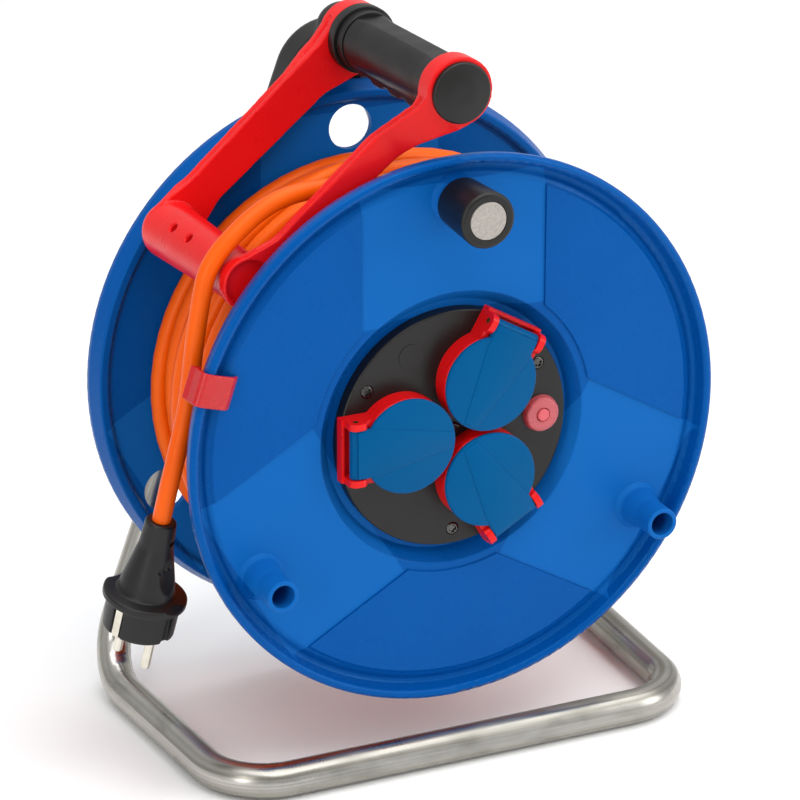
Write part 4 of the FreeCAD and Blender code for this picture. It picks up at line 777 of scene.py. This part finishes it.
bpy.ops.object.shade_smooth_by_angle(angle=math.radians(30))
pad.name = "plate_pad"
pad.data.materials.clear()
pad.data.materials.append(finishes["black_plastic"])
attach(pad, "drum")
print("pad faces:", len(pad.data.polygons))

# %% [markdown]
# The stand is one steel tube, bent four times. Where it was bent, the inside of the curve is
# slightly wrinkled. The plating's streaks run along the tube, and for that the skin needs a map
# that runs along it too, so this tube is swept ring by ring along its path, with its own UV map.

# %% Stand tube
def bent_path(corners, radius, step=3.0):
    """Places along straight runs and arcs, each with its bend strength and inward direction."""
    places = []
    cursor = corners[0]
    for i in range(1, len(corners) - 1):
        here = corners[i]
        before, after = (corners[i - 1] - here).normalized(), (corners[i + 1] - here).normalized()
        half = before.angle(after) / 2
        pull = radius / math.tan(half)
        enter = here + before * pull
        middle = here + (before + after).normalized() * (radius / math.sin(half))
        count = max(2, int((enter - cursor).length / STRAIGHT_STEP))
        inwards = (middle - enter).normalized()
        places += [(cursor.lerp(enter, k / count), 0.0, inwards) for k in range(count)]
        axis = (enter - middle).cross(here - middle).normalized()
        turn = math.pi - 2 * half
        count = int(radius * turn / step)
        for k in range(count):
            spoke = Matrix.Rotation(turn * k / count, 3, axis) @ (enter - middle)
            places.append((middle + spoke, math.sin(math.pi * k / count), -spoke.normalized()))
        cursor = here + after * pull
    places += [(cursor.lerp(corners[-1], k / 20), 0.0, places[-1][2]) for k in range(21)]
    return places


FOOT_Z, LEG_Y = -167.5, 150.0
TUBE_R, BEND_R, RING, STRAIGHT_STEP = 9.0, 33.0, 40, 12.0
half_run = [Vector((-17.5, LEG_Y, 152.0)), Vector((-135.5, LEG_Y, FOOT_Z)),
            Vector((-128.5, -9.5, FOOT_Z))]
path = bent_path(half_run + [Vector((-p.x, p.y, p.z)) for p in reversed(half_run)], BEND_R)
shape = bmesh.new()
uv = shape.loops.layers.uv.new("along")
rings, lengths, run = [], [], 0.0
normal = None
for i, (spot, strength, inward) in enumerate(path):
    ahead = (path[min(i + 1, len(path) - 1)][0] - path[max(i - 1, 0)][0]).normalized()
    if normal is None:
        normal = ahead.orthogonal().normalized()
    normal = (normal - ahead * normal.dot(ahead)).normalized()
    across = ahead.cross(normal)
    run += (spot - path[i - 1][0]).length if i else 0.0
    ring = []
    for k in range(RING):
        out = normal * math.cos(2 * math.pi * k / RING) + across * math.sin(2 * math.pi * k / RING)
        facing = out.dot(inward)
        inner = max(0.0, facing)
        wrinkle = strength * (0.30 * math.sin(run * 0.75) * inner ** 2 - 0.35 * abs(facing) ** 4)
        ring.append(shape.verts.new(place(*(spot + out * (TUBE_R + wrinkle)))))
    rings.append(ring)
    lengths.append(run)
for i in range(len(rings) - 1):
    for k in range(RING):
        j = (k + 1) % RING
        face = shape.faces.new((rings[i][k], rings[i][j], rings[i + 1][j], rings[i + 1][k]))
        face.smooth = True
        for loop, (u, v) in zip(face.loops, ((k, i), (k + 1, i), (k + 1, i + 1), (k, i + 1))):
            loop[uv].uv = (u / RING, lengths[v] * MM)
shape.faces.new(rings[0][::-1])
shape.faces.new(rings[-1])
bmesh.ops.recalc_face_normals(shape, faces=shape.faces)
mesh = bpy.data.meshes.new("stand_frame")
shape.to_mesh(mesh)
shape.free()
stand = bpy.data.objects.new("stand_frame", mesh)
bpy.context.scene.collection.objects.link(stand)
stand.data.materials.append(finishes["zinc_steel"])
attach(stand, "stand")
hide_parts("stand_tube")
print("stand tube:", round(lengths[-1]), "mm long,", len(mesh.polygons), "faces")

# %% [markdown]
# The photograph was taken on white, with large soft lights. A pale floor stands in for the paper,
# and three area lights give the broad, soft highlights on the rims and the tube.

# %% Floor and light
bpy.ops.mesh.primitive_plane_add(size=6.0, location=(0, 0, -0.0002))
floor = bpy.context.object
floor.name = "floor"
tree, shader, where = start_finish("floor_paper")
clouds = spread(tree, noise(tree, where, 3.0, 2.0), 0.0, 1.0)
tree.links.new(blend_colours(tree, clouds, shade(250, 250, 250), shade(247, 247, 247)),
               shader.inputs["Base Color"])
shader.inputs["Roughness"].default_value = 0.9
floor.data.materials.append(finishes["floor_paper"])

world = bpy.data.worlds.new("studio")
bpy.context.scene.world = world
world.use_nodes = True
world.node_tree.nodes["Background"].inputs["Color"].default_value = (1.0, 1.0, 1.0, 1.0)
world.node_tree.nodes["Background"].inputs["Strength"].default_value = 0.64


def softbox(name, spot, aim, width, height, power):
    data = bpy.data.lights.new(name, "AREA")
    data.shape = "RECTANGLE"
    data.size, data.size_y = width, height
    data.energy = power
    lamp = bpy.data.objects.new(name, data)
    bpy.context.scene.collection.objects.link(lamp)
    lamp.location = spot
    lamp.rotation_euler = (Vector(aim) - Vector(spot)).to_track_quat("-Z", "Y").to_euler()
    return lamp


softbox("light_overhead", (0.2, -0.3, 1.9), (0, 0, 0.1), 2.4, 2.0, 35.0)
softbox("light_right", (1.5, -1.2, 0.9), (0, 0, 0.18), 0.7, 1.3, 12.0)
softbox("light_left", (-1.5, -1.1, 0.8), (0, 0, 0.18), 0.5, 1.3, 9.0)
bpy.context.scene.view_settings.view_transform = "Standard"
